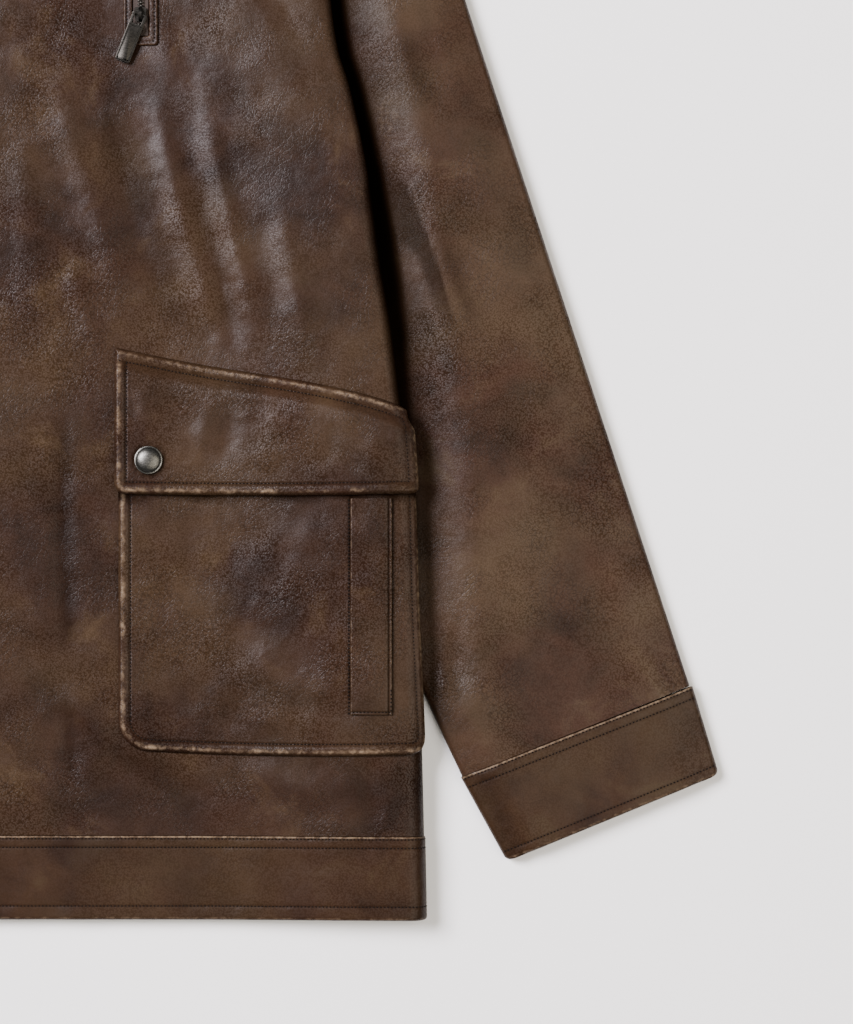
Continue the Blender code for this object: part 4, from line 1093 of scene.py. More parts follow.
def makeCuff(name, mirrored):
    def spot(loop, run):
        t = run / cuff["length"]
        outer, inner = (start.lerp(end, t) for start, end in (cuff["outer"], cuff["inner"]))
        chord = (inner - outer).normalized()
        inset = cornerInset(cuff["length"] - run, cuff["corner"])
        outer, inner = outer + chord * inset, inner - chord * inset

        def relief(x, y):
            rise = softness(x, y, *cuff["soft"]) + softness(x, y, *cuff["fine"])
            rise += sum(stitchGroove(run - row) for row in cuff["rows"])
            rise += turnedEdge(run, 0.0012, 0.0008)
            rise += turnedEdge(cuff["length"] - run, cuff["edgeRound"], 0.0022)
            return rise

        point, across = tubeSpot(outer, inner, loop, t, cuffHeight, False, relief)
        top = 1.0 if loop < 2.6 else 0.0
        seam, mouth = 0.9 - abs(run - 0.0006) / 0.0012, 0.4 * stripe(cuff["length"] - run - 0.0012, 0.0015)
        between = 0.10 if cuff["rows"][0] < run < cuff["rows"][1] else 0.0
        paleness = max(top * max(seam, mouth, between), 0.25 * stripe(loop - 0.7, 0.4))
        return point, paleness, rowShade(run, cuff["rows"]) * top

    loops = places(0.0, 0.125, 1.0, cuff["grid"] / cuff["width"], 2.0, 0.125, 3.0, 0.07, 4.0)
    runs = places(0.0, 0.0004, 0.0024, 0.0006, 0.0090, 0.0024, 0.0460, 0.0006, 0.0528, 0.0003, cuff["length"])
    return layCloth(name, loops, runs, spot, bandLeather, coat["wall"], closed=True, mirrored=mirrored), spot


cuffSewing = []
for side, mirrored in (("left", False), ("right", True)):
    piece, spot = makeCuff("cuff_%s_leather" % side, mirrored)
    finishPiece(piece, "coat", "leather", "cuff_" + side)
    for row in cuff["rows"]:
        cuffSewing += sewRow(spot, [(0.75, row), (1.0, row), (2.0, row), (2.25, row)], mirrored)
print("cuffs laid")

# Hem band

hem = {
    "step": 0.0008, "rows": (0.0085, 0.0437, 0.0489), "edgeRound": 0.0024,
    "grid": 0.0026, "width": 0.28, "soft": (0.022, 0.0006), "fine": (0.006, 0.00012), "sideShade": 0.30,
}


# How far the band stands out from the front's face
def hemOut(y):
    out = hem["step"] + sum(stitchGroove(y - row) for row in hem["rows"])
    out += turnedEdge(y, hem["edgeRound"], 0.0026) + turnedEdge(coat["hemDepth"] - y, 0.0012, 0.0007)
    return out


# How pale the band is where it is rubbed, and how much shade is painted along its rows of stitches
def hemMarks(y):
    seam, foot = 0.8 - abs(coat["hemDepth"] - y - 0.0006) / 0.0012, 0.35 * stripe(y - 0.0012, 0.0014)
    between = 0.10 if hem["rows"][1] < y < hem["rows"][2] else 0.0
    return max(seam, foot, between), rowShade(y, hem["rows"])


def makeHem(name, start, under, seed):
    def spot(u, y):
        edge, radius = bodyEdge(y), sideRadius(y)
        x = mix(start, edge - radius, min(u, 1.0))
        relief = softness(x, y, *hem["soft"], seed) + softness(x, y, *hem["fine"], seed + 2)
        out = hemOut(y) + relief
        paleness, shade = hemMarks(y)
        if u <= 1:
            return Vector((x, y, frontHeight(x, y, under) + out)), paleness, shade
        x, z = sidePoint(y, u - 1, hemOut(y) + relief * (1 - smooth((u - 1) / 0.6)))
        # Painted shade where the band turns down round the side
        return Vector((x, y, z)), paleness, max(shade, hem["sideShade"] * smooth((u - 1) / 0.5))

    across = places(0.0, hem["grid"] / hem["width"], 1.0, 0.1, 2.0)
    along = places(0.0, 0.0003, 0.0024, 0.0012, 0.0072, 0.0005, 0.0100, 0.0028, 0.0420, 0.0005,
                   coat["hemDepth"])
    return layCloth(name, across, along, spot, bandLeather, coat["wall"], mirrored=under), spot


hemSewing = []
for name, start, under, seed in (
    ("hem_front_left", -coat["overlapLeft"], False, 50.0),
    ("hem_front_right", -coat["overlapRight"], True, 60.0),
):
    piece, spot = makeHem(name + "_leather", start, under, seed)
    finishPiece(piece, "coat", "leather", name)
    for row in hem["rows"]:
        hemSewing += sewRow(spot, [(0.004, row), (1.0, row), (1.8, row)], under)

rows = places(0.0, 0.0005, 0.003, 0.006, coat["hemDepth"])
piece = layCloth("hem_back_leather", columns, rows, backSpot, bandLeather, coat["wall"], facesDown=True)
finishPiece(piece, "coat", "leather", "hem_back")
print("hem bands laid")

# Patch pockets

pocket = {
    "left": 0.1010, "bottom": 0.0985, "sideAngle": radians(69), "cornerInner": 0.018, "cornerOuter": 0.012,
    "bagWall": 0.0019, "sideEase": 0.0004, "rollWidth": 0.007, "rollHeight": 0.0011, "farNarrow": 1.45,
    "flapLeft": 0.0988, "flapBottom": 0.2545, "flapWall": 0.0020, "flapCorner": 0.007,
    "flapTop": [(0.0988, 0.3435), (0.1488, 0.3336), (0.2172, 0.3222), (0.2580, 0.3126), (0.2860, 0.3015)],
    "weltLeft": 0.2405, "weltRight": 0.2655, "weltBottom": 0.1235, "weltWall": 0.0011,
    "snap": (0.1195, 0.2759), "shell": 0.0009, "bagHeight": 0.156, "rim": 0.0024,
    "palestAt": 0.0028, "palenessHalf": 0.0024, "mostPaleness": 0.8, "lumpSize": 0.011,
    # Unevenness of each piece: size, height, seed. The welt also takes the bag's, which it lies on.
    "bagSoft": (0.020, 0.0008, 70), "bagFine": (0.007, 0.00016, 71), "weltSoft": (0.012, 0.0004, 90),
    "flapSoft": (0.018, 0.0008, 80), "flapFine": (0.006, 0.00015, 81),
}
bagBase = coat["layGap"] + pocket["bagWall"]
inRoll = pocket["rollWidth"] + 0.0004       # where the rolled edge is sewn
inFar = inRoll / pocket["farNarrow"]

# Creases of the bag and of the flap
bagCreases = [
    ((0.107, 0.247), (0.140, 0.214), 0.001, 0.0010, 0.0045),
    ((0.109, 0.238), (0.136, 0.206), 0.001, -0.0008, 0.0045),
    ((0.107, 0.209), (0.124, 0.198), 0.001, 0.0010, 0.0040),
    ((0.110, 0.196), (0.135, 0.186), 0.001, -0.0006, 0.0050),
    ((0.220, 0.240), (0.200, 0.180), 0.003, 0.0007, 0.0080),
    ((0.150, 0.150), (0.215, 0.118), 0.003, 0.0006, 0.0090),
]
flapCreases = [
    ((0.160, 0.318), (0.150, 0.282), 0.002, 0.0008, 0.006),
    ((0.172, 0.316), (0.164, 0.276), 0.001, -0.0006, 0.006),
    ((0.200, 0.308), (0.190, 0.270), 0.002, 0.0007, 0.008),
    ((0.232, 0.300), (0.226, 0.268), 0.001, -0.0005, 0.006),
    ((0.110, 0.320), (0.122, 0.298), 0.001, 0.0006, 0.005),
]


# A pocket stands off a little more where the front turns down at the side
def sideEase(along, y):
    flatEnd = bodyEdge(y) - sideRadius(y)
    return pocket["sideEase"] * smooth((along - flatEnd + 0.025) / 0.025)


# Where a pocket's far edge is sewn on, round the side
def pocketSide(y):
    radius = sideRadius(y)
    return bodyEdge(y) - radius + pocket["sideAngle"] * radius


# Distance in from the edge of an oblong with two rounded lower corners; the far side, which
# goes down round the body, is sewn narrower
def fromEdge(a, b, width, height, left, right):
    far = (width - a) * pocket["farNarrow"]
    if a < left and b < left:
        return left - hypot(left - a, left - b)
    if far < right and b < right:
        return right - hypot(right - far, right - b)
    return min(a, far, b, height - b)


# Keeps an edge's own spacing at both ends and stretches the middle
def fitted(p, nominal, real, edge=0.0095):
    if p <= edge:
        return p
    if p >= nominal - edge:
        return real - (nominal - p)
    return edge + (p - edge) / (nominal - 2 * edge) * (real - 2 * edge)


# Thickness over a rolled, sewn edge: round at its rim, then a groove where it is sewn
def rolledEdge(distance, wall):
    roll = 0.0
    if distance < pocket["rollWidth"]:
        roll = pocket["rollHeight"] * min(sin(pi * distance / pocket["rollWidth"]) * 1.3, 1.0)
    groove = stitchGroove(distance - inRoll, 0.0003, 0.0005)
    return (wall + roll) * rimRound(distance, pocket["rim"]) + groove


# A rolled edge is pale tan in lumps along its crest, partly rubbed wear and partly a painted highlight, with
# painted shade along its stitches
def rolledMarks(distance, x, y):
    lump = 0.6 + softness(x, y, pocket["lumpSize"], 0.8, 3.0)
    paleness = stripe(distance - pocket["palestAt"], pocket["palenessHalf"])
    paleness *= min(max(lump * pocket["mostPaleness"], 0.15), pocket["mostPaleness"])
    return max(paleness, 0.13 if distance < 0.0062 else 0.0), rowShade(distance, [inRoll - 0.0001], 0.0008)


edgeStops = (0.0, 0.0003, 0.0006, 0.0006, 0.0030, 0.0009, 0.0057, 0.00045, 0.0093)
bagNominal, flapNominal, flapTall = 0.190, 0.190, 0.070
bagOpen = 9.0       # a height past any, for the bag has no edge at its top


# Places right across a piece, close at its rolled edges
def edged(nominal, spacing=0.0025):
    first = places(*edgeStops, spacing, nominal / 2)
    return first + [nominal - p for p in reversed(first[:-1])]


# Width of the bag at a height above its lower edge
def bagFull(above):
    return pocketSide(pocket["bottom"] + above) - pocket["left"]


# The bag's face at a place across the cloth and a height above its lower edge
def bagAt(along, above):
    full = bagFull(above)
    bow = 0.0035 * ((along - 0.215) / 0.11) ** 2 * (1 - above / pocket["bagHeight"])
    hiddenTop = flapTopY(along) - 0.013 - pocket["bottom"] - pocket["bagHeight"]
    slant = hiddenTop * smooth((above - 0.075) / 0.081)
    y = pocket["bottom"] + above + bow + slant
    distance = fromEdge(along - pocket["left"], above, full, bagOpen,
                        pocket["cornerInner"], pocket["cornerOuter"])
    middle = smooth((distance - 0.009) / 0.012)
    relief = softness(along, y, *pocket["bagSoft"]) + softness(along, y, *pocket["bagFine"])
    relief += creaseRise(bagCreases, along, y)
    hidden = smooth((y - 0.247) / 0.006)
    out = coat["layGap"] + rolledEdge(distance, pocket["bagWall"]) + relief * middle * (1 - hidden)
    paleness, shade = rolledMarks(distance, along, y)
    # Painted shade under the flap, in the welt's opening and along its fold
    underFlap = 0.75 * smooth((y - 0.2510) / 0.0035)
    welted = smooth((above - 0.024) / 0.003)
    opening = 0.55 * welted * bell(along - pocket["weltRight"] + 0.0004, 0.0016)
    fold = 0.6 * welted * bell(along - pocket["weltLeft"] + 0.0002, 0.0008)
    return panelPoint(along, y, out + sideEase(along, y)), paleness, max(shade, underFlap, opening, fold)


def bagSpot(p, above):
    full = bagFull(above)
    insetLeft = cornerInset(above, pocket["cornerInner"])
    insetRight = cornerInset(above, pocket["cornerOuter"])
    return bagAt(pocket["left"] + insetLeft + fitted(p, bagNominal, full - insetLeft - insetRight), above)


def flapTopY(along):
    return through(pocket["flapTop"], along)


def flapBottomY(along):
    return pocket["flapBottom"] + 0.0012 * ((along - 0.185) / 0.09) ** 2


# The flap's face: it lies on the bag below, and on the front along its top
def flapSpot(p, q, cornered=True):
    rough = pocket["flapLeft"] + p
    yGuess = flapBottomY(rough) + fitted(q, flapTall, flapTopY(rough) - flapBottomY(rough))
    full = pocketSide(min(yGuess, 0.31)) - pocket["flapLeft"]
    inset = 0.0
    if cornered:
        inset = max(cornerInset(q, pocket["flapCorner"]), cornerInset(flapTall - q, 0.0022))
    along = pocket["flapLeft"] + inset + fitted(p, flapNominal, full - inset * 1.7)
    bottom, top = flapBottomY(along), flapTopY(along)
    above = fitted(q, flapTall, top - bottom)
    y = bottom + above
    distance = fromEdge(along - pocket["flapLeft"], above, full, top - bottom,
                        pocket["flapCorner"], pocket["flapCorner"] * 0.7)
    onBag = smooth((top - y - 0.005) / 0.0095)
    lying = 2 * coat["layGap"] + pocket["bagWall"] + pocket["rollHeight"] + 0.0002
    under = mix(coat["layGap"], lying, onBag) + sideEase(along, y)
    middle = smooth((distance - 0.009) / 0.010)
    relief = softness(along, y, *pocket["flapSoft"]) + softness(along, y, *pocket["flapFine"])
    relief += creaseRise(flapCreases, along, y)
    snapX, snapY = pocket["snap"]
    reach = hypot(along - snapX, y - snapY)
    middle *= smooth((reach - 0.008) / 0.008)
    relief = relief * middle - 0.0003 * bell(reach, 0.011)
    paleness, shade = rolledMarks(distance, along, y)
    # A painted shadow ring round the snap
    ring = 0.6 * bell(reach - 0.0092, 0.0012)
    out = under + rolledEdge(distance, pocket["flapWall"]) + relief
    return panelPoint(along, y, out), paleness, max(shade, ring)


# Upright strip of the side entry, on the bag: a fold at its left, the opening's edge at its right
def weltSpot(p, y):
    edge = bodyEdge(y) - sideRadius(y)
    right = min(pocket["weltRight"], edge - 0.001)
    width = right - pocket["weltLeft"]
    along = pocket["weltLeft"] + p * width
    sideIn, openIn, footIn = min(p, 1 - p) * width, (1 - p) * width, y - pocket["weltBottom"]
    distance = min(sideIn, footIn)
    shell = pocket["weltWall"] * rimRound(distance, 0.0010)
    shell += stitchGroove(openIn - 0.0021, 0.0007, 0.0006) + stitchGroove(footIn - weltSewn, 0.0004, 0.0006)
    relief = softness(along, y, *pocket["weltSoft"]) * smooth((distance - 0.002) / 0.004)
    out = bagBase + coat["layGap"] + shell + max(relief, -0.0002)
    out += max(softness(along, y, *pocket["bagSoft"]), 0.0)
    paleness = 0.35 * stripe(sideIn - 0.0005, 0.0007)
    # Painted shade in the opening and along the foot's stitches
    shade = max(0.6 * bell(openIn - 0.0021, 0.0006), 0.30 * bell(footIn - weltSewn, 0.0006))
    return panelPoint(along, y, out + sideEase(along, y)), paleness, shade


# Points of a rounded corner at a distance in from the edge, as (across, above)
def cornerRow(radius, inside, fromRight=None):
    row = []
    for k in range(7):
        angle = pi / 2 * k / 6
        a, b = radius - (radius - inside) * cos(angle), radius - (radius - inside) * sin(angle)
        row.append((a if fromRight is None else fromRight - a / pocket["farNarrow"], b))
    return row


pocketSewing = []
bagRows = [q for q in edged(2 * pocket["bagHeight"]) if q <= pocket["bagHeight"] + 0.0001]
bagRoute = [(inRoll, 0.150)] + cornerRow(pocket["cornerInner"], inRoll)
bagRoute += cornerRow(pocket["cornerOuter"], inRoll, bagNominal)[::-1] + [(bagNominal - inFar, 0.150)]
flapRoute = [(inRoll, flapTall - inRoll), (inRoll, inRoll), (flapNominal - inFar, inRoll)]
flapRoute += [(flapNominal - inFar, flapTall - inRoll), (0.0005, flapTall - inRoll)]
weltTop, weltFoot, weltSewn = pocket["flapBottom"] - 0.0016, pocket["weltBottom"], 0.0019
footY = weltFoot + weltSewn
weltRoutes = ([(0.03, footY), (0.97, footY)], [(0.97, footY), (0.97, weltFoot + 0.016)])


def bagRow(p, above):
    return bagAt(pocket["left"] + fitted(p, bagNominal, bagFull(above)), above)


def besideWelt(along, y):
    out = bagBase + sideEase(along, y) + softness(along, y, *pocket["bagSoft"]) + 0.0001
    return panelPoint(along, y, out), 0.0, 0.0


for side, mirrored in (("left", False), ("right", True)):
    bag = layCloth("pocket_bag_%s_leather" % side, edged(bagNominal), bagRows, bagSpot, pocketLeather,
                   pocket["shell"], mirrored=mirrored)
    finishPiece(bag, "coat", "leather", "pocket_bag_" + side)
    flap = layCloth("pocket_flap_%s_leather" % side, edged(flapNominal, 0.0022), edged(flapTall, 0.0022),
                    flapSpot, pocketLeather, pocket["shell"], mirrored=mirrored)
    finishPiece(flap, "coat", "leather", "pocket_flap_" + side)
    welt = layCloth("pocket_welt_%s_leather" % side, places(0.0, 0.012, 0.12, 0.08, 0.88, 0.012, 1.0),
                    places(weltFoot, 0.0003, weltFoot + 0.003, 0.0025, weltTop),
                    weltSpot, pocketLeather, pocket["shell"] * 0.8, mirrored=mirrored)
    finishPiece(welt, "coat", "dark_leather", "pocket_welt_" + side)
    pocketSewing += sewRow(bagRow, bagRoute, mirrored)
    pocketSewing += sewRow(lambda a, b: flapSpot(a, b, False), flapRoute, mirrored)
    leftOf = pocket["weltLeft"] - 0.0010
    pocketSewing += sewRow(besideWelt, [(leftOf, weltTop), (leftOf, weltFoot)], mirrored)
    for route in weltRoutes:
        pocketSewing += sewRow(weltSpot, route, mirrored)
print("pockets laid")

# Front strip

placket = {"half": 0.0178, "wall": 0.0014, "shell": 0.0009, "rowIn": 0.0036, "soft": (0.014, 0.0004, 33)}


def placketSpot(x, y):
    distance = placket["half"] - abs(x)
    relief = softness(x, y, *placket["soft"]) + stitchGroove(distance - placket["rowIn"])
    z = frontHeight(x, y) + coat["layGap"] + placket["wall"] * rimRound(distance, 0.0011)
    z += relief * min(distance / 0.003, 1.0) + max(frontRelief(x, y), 0.0) * 0.6
    paleness = stripe(distance - 0.0006, 0.0010)
    return Vector((x, y, z)), paleness, rowShade(distance, [placket["rowIn"]], 0.0009)


half = placket["half"]
across = places(-half, 0.0004, -half + 0.0056, 0.0022, half - 0.0056, 0.0004, half)
along = places(coat["hemDepth"] + 0.001, 0.003, coat["frontNeckY"] - 0.001)
piece = layCloth("placket_leather", across, along, placketSpot, leather, placket["shell"])
finishPiece(piece, "coat", "dark_leather", "placket")
trimSewing = []
for x in (placket["rowIn"] - half, half - placket["rowIn"]):
    trimSewing += sewRow(placketSpot, [(x, along[0]), (x, 0.25), (x, 0.45), (x, along[-1])])

# Stand collar, from its left end round the back to its right end

collar = {
    "height": 0.042, "wall": 0.0020, "foldX": 0.079, "lean": 0.10, "rows": (0.0022, 0.0385),
    "soft": (0.020, 0.0005, 44), "loopLength": 0.08,
}


def collarSpot(loop, above):
    level = above / collar["height"]
    lean = 1 - collar["lean"] * level
    rise = above + 2 * gap
    depth = body["height"] - 0.001 * level
    under = loop > 2.5      # the right half, which mirrors the left and dips under it in front
    w = 5 - loop if under else loop
    start = -coat["overlapRight"] if under else -coat["overlapLeft"]
    relief = softness(loop * collar["loopLength"], above, *collar["soft"])
    relief += turnedEdge(collar["height"] - above, 0.0022, 0.0018)
    relief += sum(stitchGroove(above - row) for row in collar["rows"])
    if w <= 1:
        x = mix(start, collar["foldX"], w)
        drop = underlap(x) if under else 0.0
        point = Vector((x * lean, frontNeck(x) + rise, depth - drop + relief))
    elif w <= 2:
        angle = pi * (w - 1)
        s, c = sin(angle), cos(angle)
        x = collar["foldX"] + (coat["neckHalf"] - collar["foldX"]) * s
        low, high = frontNeck(x), backNeck(x)
        y = (low if angle < 1.2 else high) if abs(angle - pi / 2) > 0.02 else coat["neckSideY"]
        point = Vector((x * lean, y + rise, depth / 2 + depth / 2 * c))
    else:
        x = mix(collar["foldX"], 0.0, (w - 2) / 0.5)
        point = Vector((x * lean, backNeck(x) + rise, 0.0))
    if under:
        point.x = -point.x
    paleness = 0.8 * stripe(collar["height"] - above - 0.001, 0.0015) if w < 1.6 else 0.0
    return point, paleness, rowShade(above, collar["rows"])


loops = places(0.0, 0.03, 1.0, 0.1, 2.0, 0.06, 3.0, 0.1, 4.0, 0.03, 5.0)
rises = places(0.0, 0.0006, 0.006, 0.003, 0.036, 0.0006, 0.040, 0.0003, collar["height"])
piece = layCloth("collar_leather", loops, rises, collarSpot, leather, collar["wall"])
finishPiece(piece, "coat", "leather", "collar")
for row in collar["rows"]:
    for low, high in ((0.02, 0.99), (4.01, 4.98)):
        trimSewing += sewRow(collarSpot, [(low, row), (high, row)])
print("front strip and collar laid")

# Snaps: a domed cap in a thin rolled rim

snap = {
    "profile": [
        (0.0, 0.0), (0.0080, 0.0), (0.00845, 0.0002), (0.0085, 0.0006), (0.0083, 0.0010), (0.0079, 0.0011),
        (0.0077, 0.0010), (0.0075, 0.0011), (0.0071, 0.0017), (0.0062, 0.0024), (0.0049, 0.0030),
        (0.0034, 0.0034), (0.0017, 0.00358), (0.0, 0.0036),
    ],
    "steps": 72, "count": 6, "firstY": 0.085, "pitch": 0.107,
}


def turnSnap(bm):
    verts = [bm.verts.new((x, 0, z)) for x, z in snap["profile"]]
    edges = [bm.edges.new(pair) for pair in zip(verts, verts[1:])]
    bmesh.ops.spin(bm, geom=verts + edges, cent=(0, 0, 0), axis=(0, 0, 1), angle=2 * pi,
                   steps=snap["steps"], use_merge=True)
    bmesh.ops.remove_doubles(bm, verts=bm.verts, dist=0.00002)


def setPiece(name, build, placing, material, bodyName, *nodes):
    mesh = makeTemplate(name, build)
    mesh.transform(placing)
    mesh.shade_smooth()
    mesh.set_sharp_from_angle(angle=radians(40))
    piece = showMesh(name, mesh, material)
    return finishPiece(piece, bodyName, "antique_metal", *nodes)


for side, sign in (("left", 1), ("right", -1)):
    along, y = pocket["snap"]
    lying = 2 * coat["layGap"] + pocket["bagWall"] + pocket["rollHeight"] + pocket["flapWall"] + 0.0004
    seat = panelPoint(along, y, lying)
    slope = (frontHeight(along + 0.01, y) - frontHeight(along - 0.01, y)) / 0.02
    tipped = Matrix.Rotation(-sign * atan(slope), 4, "Y")
    placing = Matrix.Translation((sign * seat.x, seat.y - halfLength, seat.z)) @ tipped
    setPiece("pocket_snap_%s_cap" % side, turnSnap, placing, nickel, "coat", "pocket_snap_" + side)
for k in range(snap["count"]):
    y = snap["firstY"] + k * snap["pitch"]
    z = frontHeight(0, y) + coat["layGap"] + placket["wall"] + gap
    setPiece("front_snap_%d_cap" % (k + 1), turnSnap, Matrix.Translation((0, y - halfLength, z)), nickel,
             "coat", "front_snap_%d" % (k + 1))

# Chest zip pocket

chestZip = {
    "x": 0.1146, "bottom": 0.5300, "top": 0.6620, "slotHalf": 0.0048, "weltHalf": 0.0105, "weltWall": 0.0016,
    "tapeWall": 0.0014, "pitch": 0.0020, "tooth": (0.0022, 0.0010, 0.0011), "sliderY": 0.5427,
    "sliderSize": (0.0074, 0.0084, 0.0022), "archWidth": 0.0018, "archOuter": 0.0042, "archInner": 0.0031,
    "archFlatten": 0.86, "tabLength": 0.0300, "tabWidth": 0.0092, "tabWall": 0.0011, "eye": (0.0056, 0.0058),
    "lean": radians(22), "tipClear": 0.0028, "weltSewn": 0.0022, "shell": 0.0009, "tapeShell": 0.0007,
    "tapeShade": 0.3, "toothOut": 0.0007,
}


def ringRound(half, low, high, corner):
    ring = []
    for cx, cy, start in ((1, 0, -90), (1, 1, 0), (-1, 1, 90), (-1, 0, 180)):
        centreY = mix(low + corner, high - corner, cy)
        for step in range(0, 91, 15):
            a = radians(start + step)
            ring.append((chestZip["x"] + cx * (half - corner) + corner * cos(a), centreY + corner * sin(a)))
        if cy == 0 and cx == 1:
            ring += [(chestZip["x"] + half, mix(low, high, k / 48)) for k in range(1, 48)]
        if cy == 1 and cx == -1:
            ring += [(chestZip["x"] - half, mix(high, low, k / 48)) for k in range(1, 48)]
    return ring + ring[:1]


margin = chestZip["weltHalf"] - chestZip["slotHalf"]
outerRing = ringRound(chestZip["weltHalf"], chestZip["bottom"] - margin, chestZip["top"] + margin, 0.002)
innerRing = ringRound(chestZip["slotHalf"], chestZip["bottom"], chestZip["top"], 0.001)


def zipWeltSpot(k, t):
    (ax, ay), (bx, by) = outerRing[int(k)], innerRing[int(k)]
    x, y = mix(ax, bx, t), mix(ay, by, t)
    distance = min(t, 1 - t) * margin
    shell = chestZip["weltWall"] * rimRound(distance, 0.0010)
    shell += stitchGroove(t * margin - chestZip["weltSewn"])
    z = frontHeight(x, y) + coat["layGap"] + shell + max(frontRelief(x, y), 0.0)
    paleness = 0.3 * stripe(distance - 0.0006, 0.0009)
    return Vector((x, y, z)), paleness, rowShade(t * margin, [chestZip["weltSewn"]], 0.0008, 0.30)


piece = layCloth("zip_welt_leather", list(range(len(outerRing))), places(0.0, 0.07, 1.0), zipWeltSpot,
                 leather, chestZip["shell"], closed=True)
finishPiece(piece, "coat", "dark_leather", "zip_welt")
zipRoute = [(k, chestZip["weltSewn"] / margin) for k in range(0, len(outerRing) - 1, 6)]
trimSewing += sewRow(zipWeltSpot, zipRoute)


def tapeSpot(x, y):
    high = chestZip["tapeWall"] - 0.0006 * smooth((abs(x) - 0.0019) / 0.0005)
    z = frontHeight(chestZip["x"] + x, y) + coat["layGap"] + high
    return Vector((chestZip["x"] + x, y, z)), 0.0, chestZip["tapeShade"]


half = chestZip["slotHalf"] - gap
along = places(chestZip["bottom"] + gap, 0.003, chestZip["top"] - gap)
piece = layCloth("zip_tape_woven", places(-half, 0.0004, half), along, tapeSpot, tape, chestZip["tapeShell"])
finishPiece(piece, "coat", "zip_tape", "zip_tape")


def shapeTooth(bm):
    width, length, height = chestZip["tooth"]
    bmesh.ops.create_cube(bm, size=1, matrix=Matrix.Diagonal((width, length, height, 1)))
    head = [vert for vert in bm.verts if vert.co.x > 0]
    bmesh.ops.scale(bm, vec=(1, 1.25, 1), verts=head)
    bmesh.ops.bevel(bm, geom=bm.edges[:], offset=0.00022, segments=1,
                    affect="EDGES", profile=0.5, material=-1)


teeth = []
count = int((chestZip["top"] - chestZip["bottom"] - 0.004) / chestZip["pitch"])
for k in range(2 * count):
    y = chestZip["bottom"] + 0.003 + k * chestZip["pitch"] / 2
    sign = 1 if k % 2 else -1
    x = chestZip["x"] + sign * chestZip["toothOut"]
    z = frontHeight(x, y) + coat["layGap"] + chestZip["tapeWall"] + chestZip["tooth"][2] / 2 - 0.0001
    turn = Matrix.Rotation(pi if sign > 0 else 0.0, 4, "Z")
    if abs(y - chestZip["sliderY"]) > chestZip["sliderSize"][1] / 2 - 0.0005:
        teeth.append(Matrix.Translation((x, y - halfLength, z)) @ turn)
piece = repeatShape("zip_teeth", makeTemplate("tooth", shapeTooth), teeth, darkNickel)
finishPiece(piece, "coat", "antique_metal")


def block(bm, place, size):
    placing = Matrix.Translation(place) @ Matrix.Diagonal((*size, 1))
    return bmesh.ops.create_cube(bm, size=1, matrix=placing)["verts"]


# How far an edge climbs
def climb(edge):
    return abs(edge.verts[0].co.z - edge.verts[1].co.z)


# Slider: two plates on a core, and an arch that holds the pull tab
def shapeSlider(bm):
    width, length, height = chestZip["sliderSize"]
    for z, grow in ((height - 0.0004, 1.0), (0.0004, 0.96)):
        plate = block(bm, (0, 0, z), (width * grow, length, 0.0008))
        lower = [vert for vert in plate if vert.co.y < 0]
        bmesh.ops.scale(bm, vec=(0.80, 1, 1), verts=lower)
        edges = [edge for edge in bm.edges if edge.verts[0] in plate and climb(edge) > 0.0002]
        bmesh.ops.bevel(bm, geom=edges, offset=0.0012, segments=4, affect="EDGES", profile=0.5, material=-1)
    block(bm, (0, 0.0006, height / 2), (0.0026, 0.0056, height - 0.0010))
    whole = set(bm.verts)
    inner, outer, half = chestZip["archInner"], chestZip["archOuter"], chestZip["archWidth"] / 2
    corners = (-half, inner, 0), (half, inner, 0), (half, outer, 0), (-half, outer, 0)
    face = bm.faces.new([bm.verts.new(corner) for corner in corners])
    bmesh.ops.spin(bm, geom=[face], cent=(0, 0, 0), axis=(1, 0, 0), angle=pi, steps=14, use_duplicate=False)
    arch = [vert for vert in bm.verts if vert not in whole]
    bmesh.ops.scale(bm, vec=(1, 1, chestZip["archFlatten"]), verts=arch)
    bmesh.ops.translate(bm, vec=(0, 0, height - 0.0001), verts=arch)


base = frontHeight(chestZip["x"], chestZip["sliderY"]) + coat["layGap"] + chestZip["tapeWall"] + gap
placing = Matrix.Translation((chestZip["x"], chestZip["sliderY"] - halfLength, base))
setPiece("zip_slider_metal", shapeSlider, placing, darkNickel, "coat", "zip_slider")


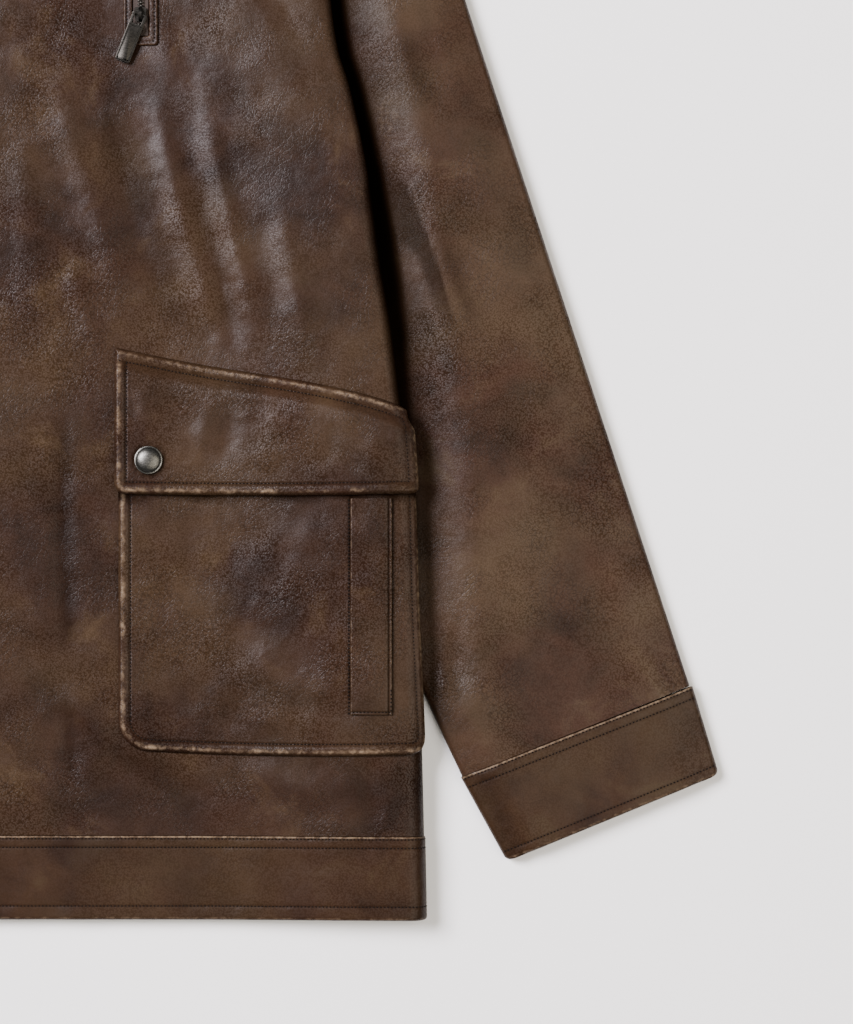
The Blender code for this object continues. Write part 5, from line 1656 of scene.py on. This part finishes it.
# Pull tab: a plate with an eye, a raised rim and a sunk groove round a plain middle
def shapeTab(bm):
    wall, width = chestZip["tabWall"], chestZip["tabWidth"]
    eyeWidth, eyeLength = chestZip["eye"]
    top, tip = wall / 2, wall / 2 - (chestZip["tabLength"] + wall / 2)
    bmesh.ops.create_grid(bm, x_segments=3, y_segments=3, size=1)
    xs = (-width / 2, -eyeWidth / 2, eyeWidth / 2, width / 2)
    ys = (tip, -wall / 2 - eyeLength, -wall / 2, top)
    for vert in bm.verts:
        vert.co = (xs[round((vert.co.x + 1) * 1.5)], ys[round((vert.co.y + 1) * 1.5)], wall / 2)
    centres = {face: face.calc_center_median() for face in bm.faces}
    eye = [face for face, centre in centres.items() if abs(centre.x) < 0.001 and ys[1] < centre.y < ys[2]]
    lower = [face for face, centre in centres.items() if centre.y < ys[1]]
    bmesh.ops.delete(bm, geom=eye, context="FACES")
    bmesh.ops.dissolve_faces(bm, faces=lower)
    made = bmesh.ops.extrude_face_region(bm, geom=bm.faces[:])
    under = [item for item in made["geom"] if isinstance(item, bmesh.types.BMVert)]
    bmesh.ops.translate(bm, vec=(0, 0, -wall), verts=under)
    bmesh.ops.recalc_face_normals(bm, faces=bm.faces)
    upright = [edge for edge in bm.edges if climb(edge) > wall / 2
               and abs(abs(edge.verts[0].co.x) - width / 2) < 0.0001
               and (edge.verts[0].co.y < tip + 0.0001 or edge.verts[0].co.y > top - 0.0001)]
    bmesh.ops.bevel(bm, geom=upright, offset=0.0012, segments=5, affect="EDGES", profile=0.5, material=-1)
    plate = max((face for face in bm.faces if face.normal.z > 0.9), key=lambda face: face.calc_area())
    for inset, depth in ((0.0009, 0.0), (0.0002, -0.00028), (0.0005, 0.0), (0.0002, 0.00022)):
        bmesh.ops.inset_region(bm, faces=[plate], thickness=inset, depth=depth, use_even_offset=True)
    rims = [edge for edge in bm.edges if len(edge.link_faces) == 2 and edge.calc_face_angle(0) > 1.3]
    bmesh.ops.bevel(bm, geom=rims, offset=0.00014, segments=2, affect="EDGES", profile=0.5, material=-1)


hinge = frame["record"]["behaviour"]["joints"][0]
hingeZ = hinge["pos_m"][2]
tipX = chestZip["x"] - sin(chestZip["lean"]) * chestZip["tabLength"]
tipY = chestZip["sliderY"] - cos(chestZip["lean"]) * chestZip["tabLength"]
tipZ = frontHeight(tipX, tipY) + chestZip["tipClear"] + chestZip["tabWall"] / 2
tilt = asin((hingeZ - tipZ) / chestZip["tabLength"])
turn = Matrix.Rotation(-chestZip["lean"], 4, "Z") @ Matrix.Rotation(tilt, 4, "X")
placing = Matrix.Translation((chestZip["x"], chestZip["sliderY"] - halfLength, hingeZ)) @ turn
setPiece("zip_pull_metal", shapeTab, placing, darkNickel, "pull_tab", "zip_pull")
print("snaps and zip set")


def shapeStitch(bm):
    bmesh.ops.create_icosphere(bm, subdivisions=1, radius=1)


stitch = makeTemplate("stitch", shapeStitch)
for name, placings in (
    ("hem_sewing", hemSewing), ("cuff_sewing", cuffSewing),
    ("pocket_sewing", pocketSewing), ("trim_sewing", trimSewing),
):
    finishPiece(repeatShape(name, stitch, placings, thread), "coat", "dark_leather")
    print(name, len(placings), "stitches")

bpy.context.view_layer.update()
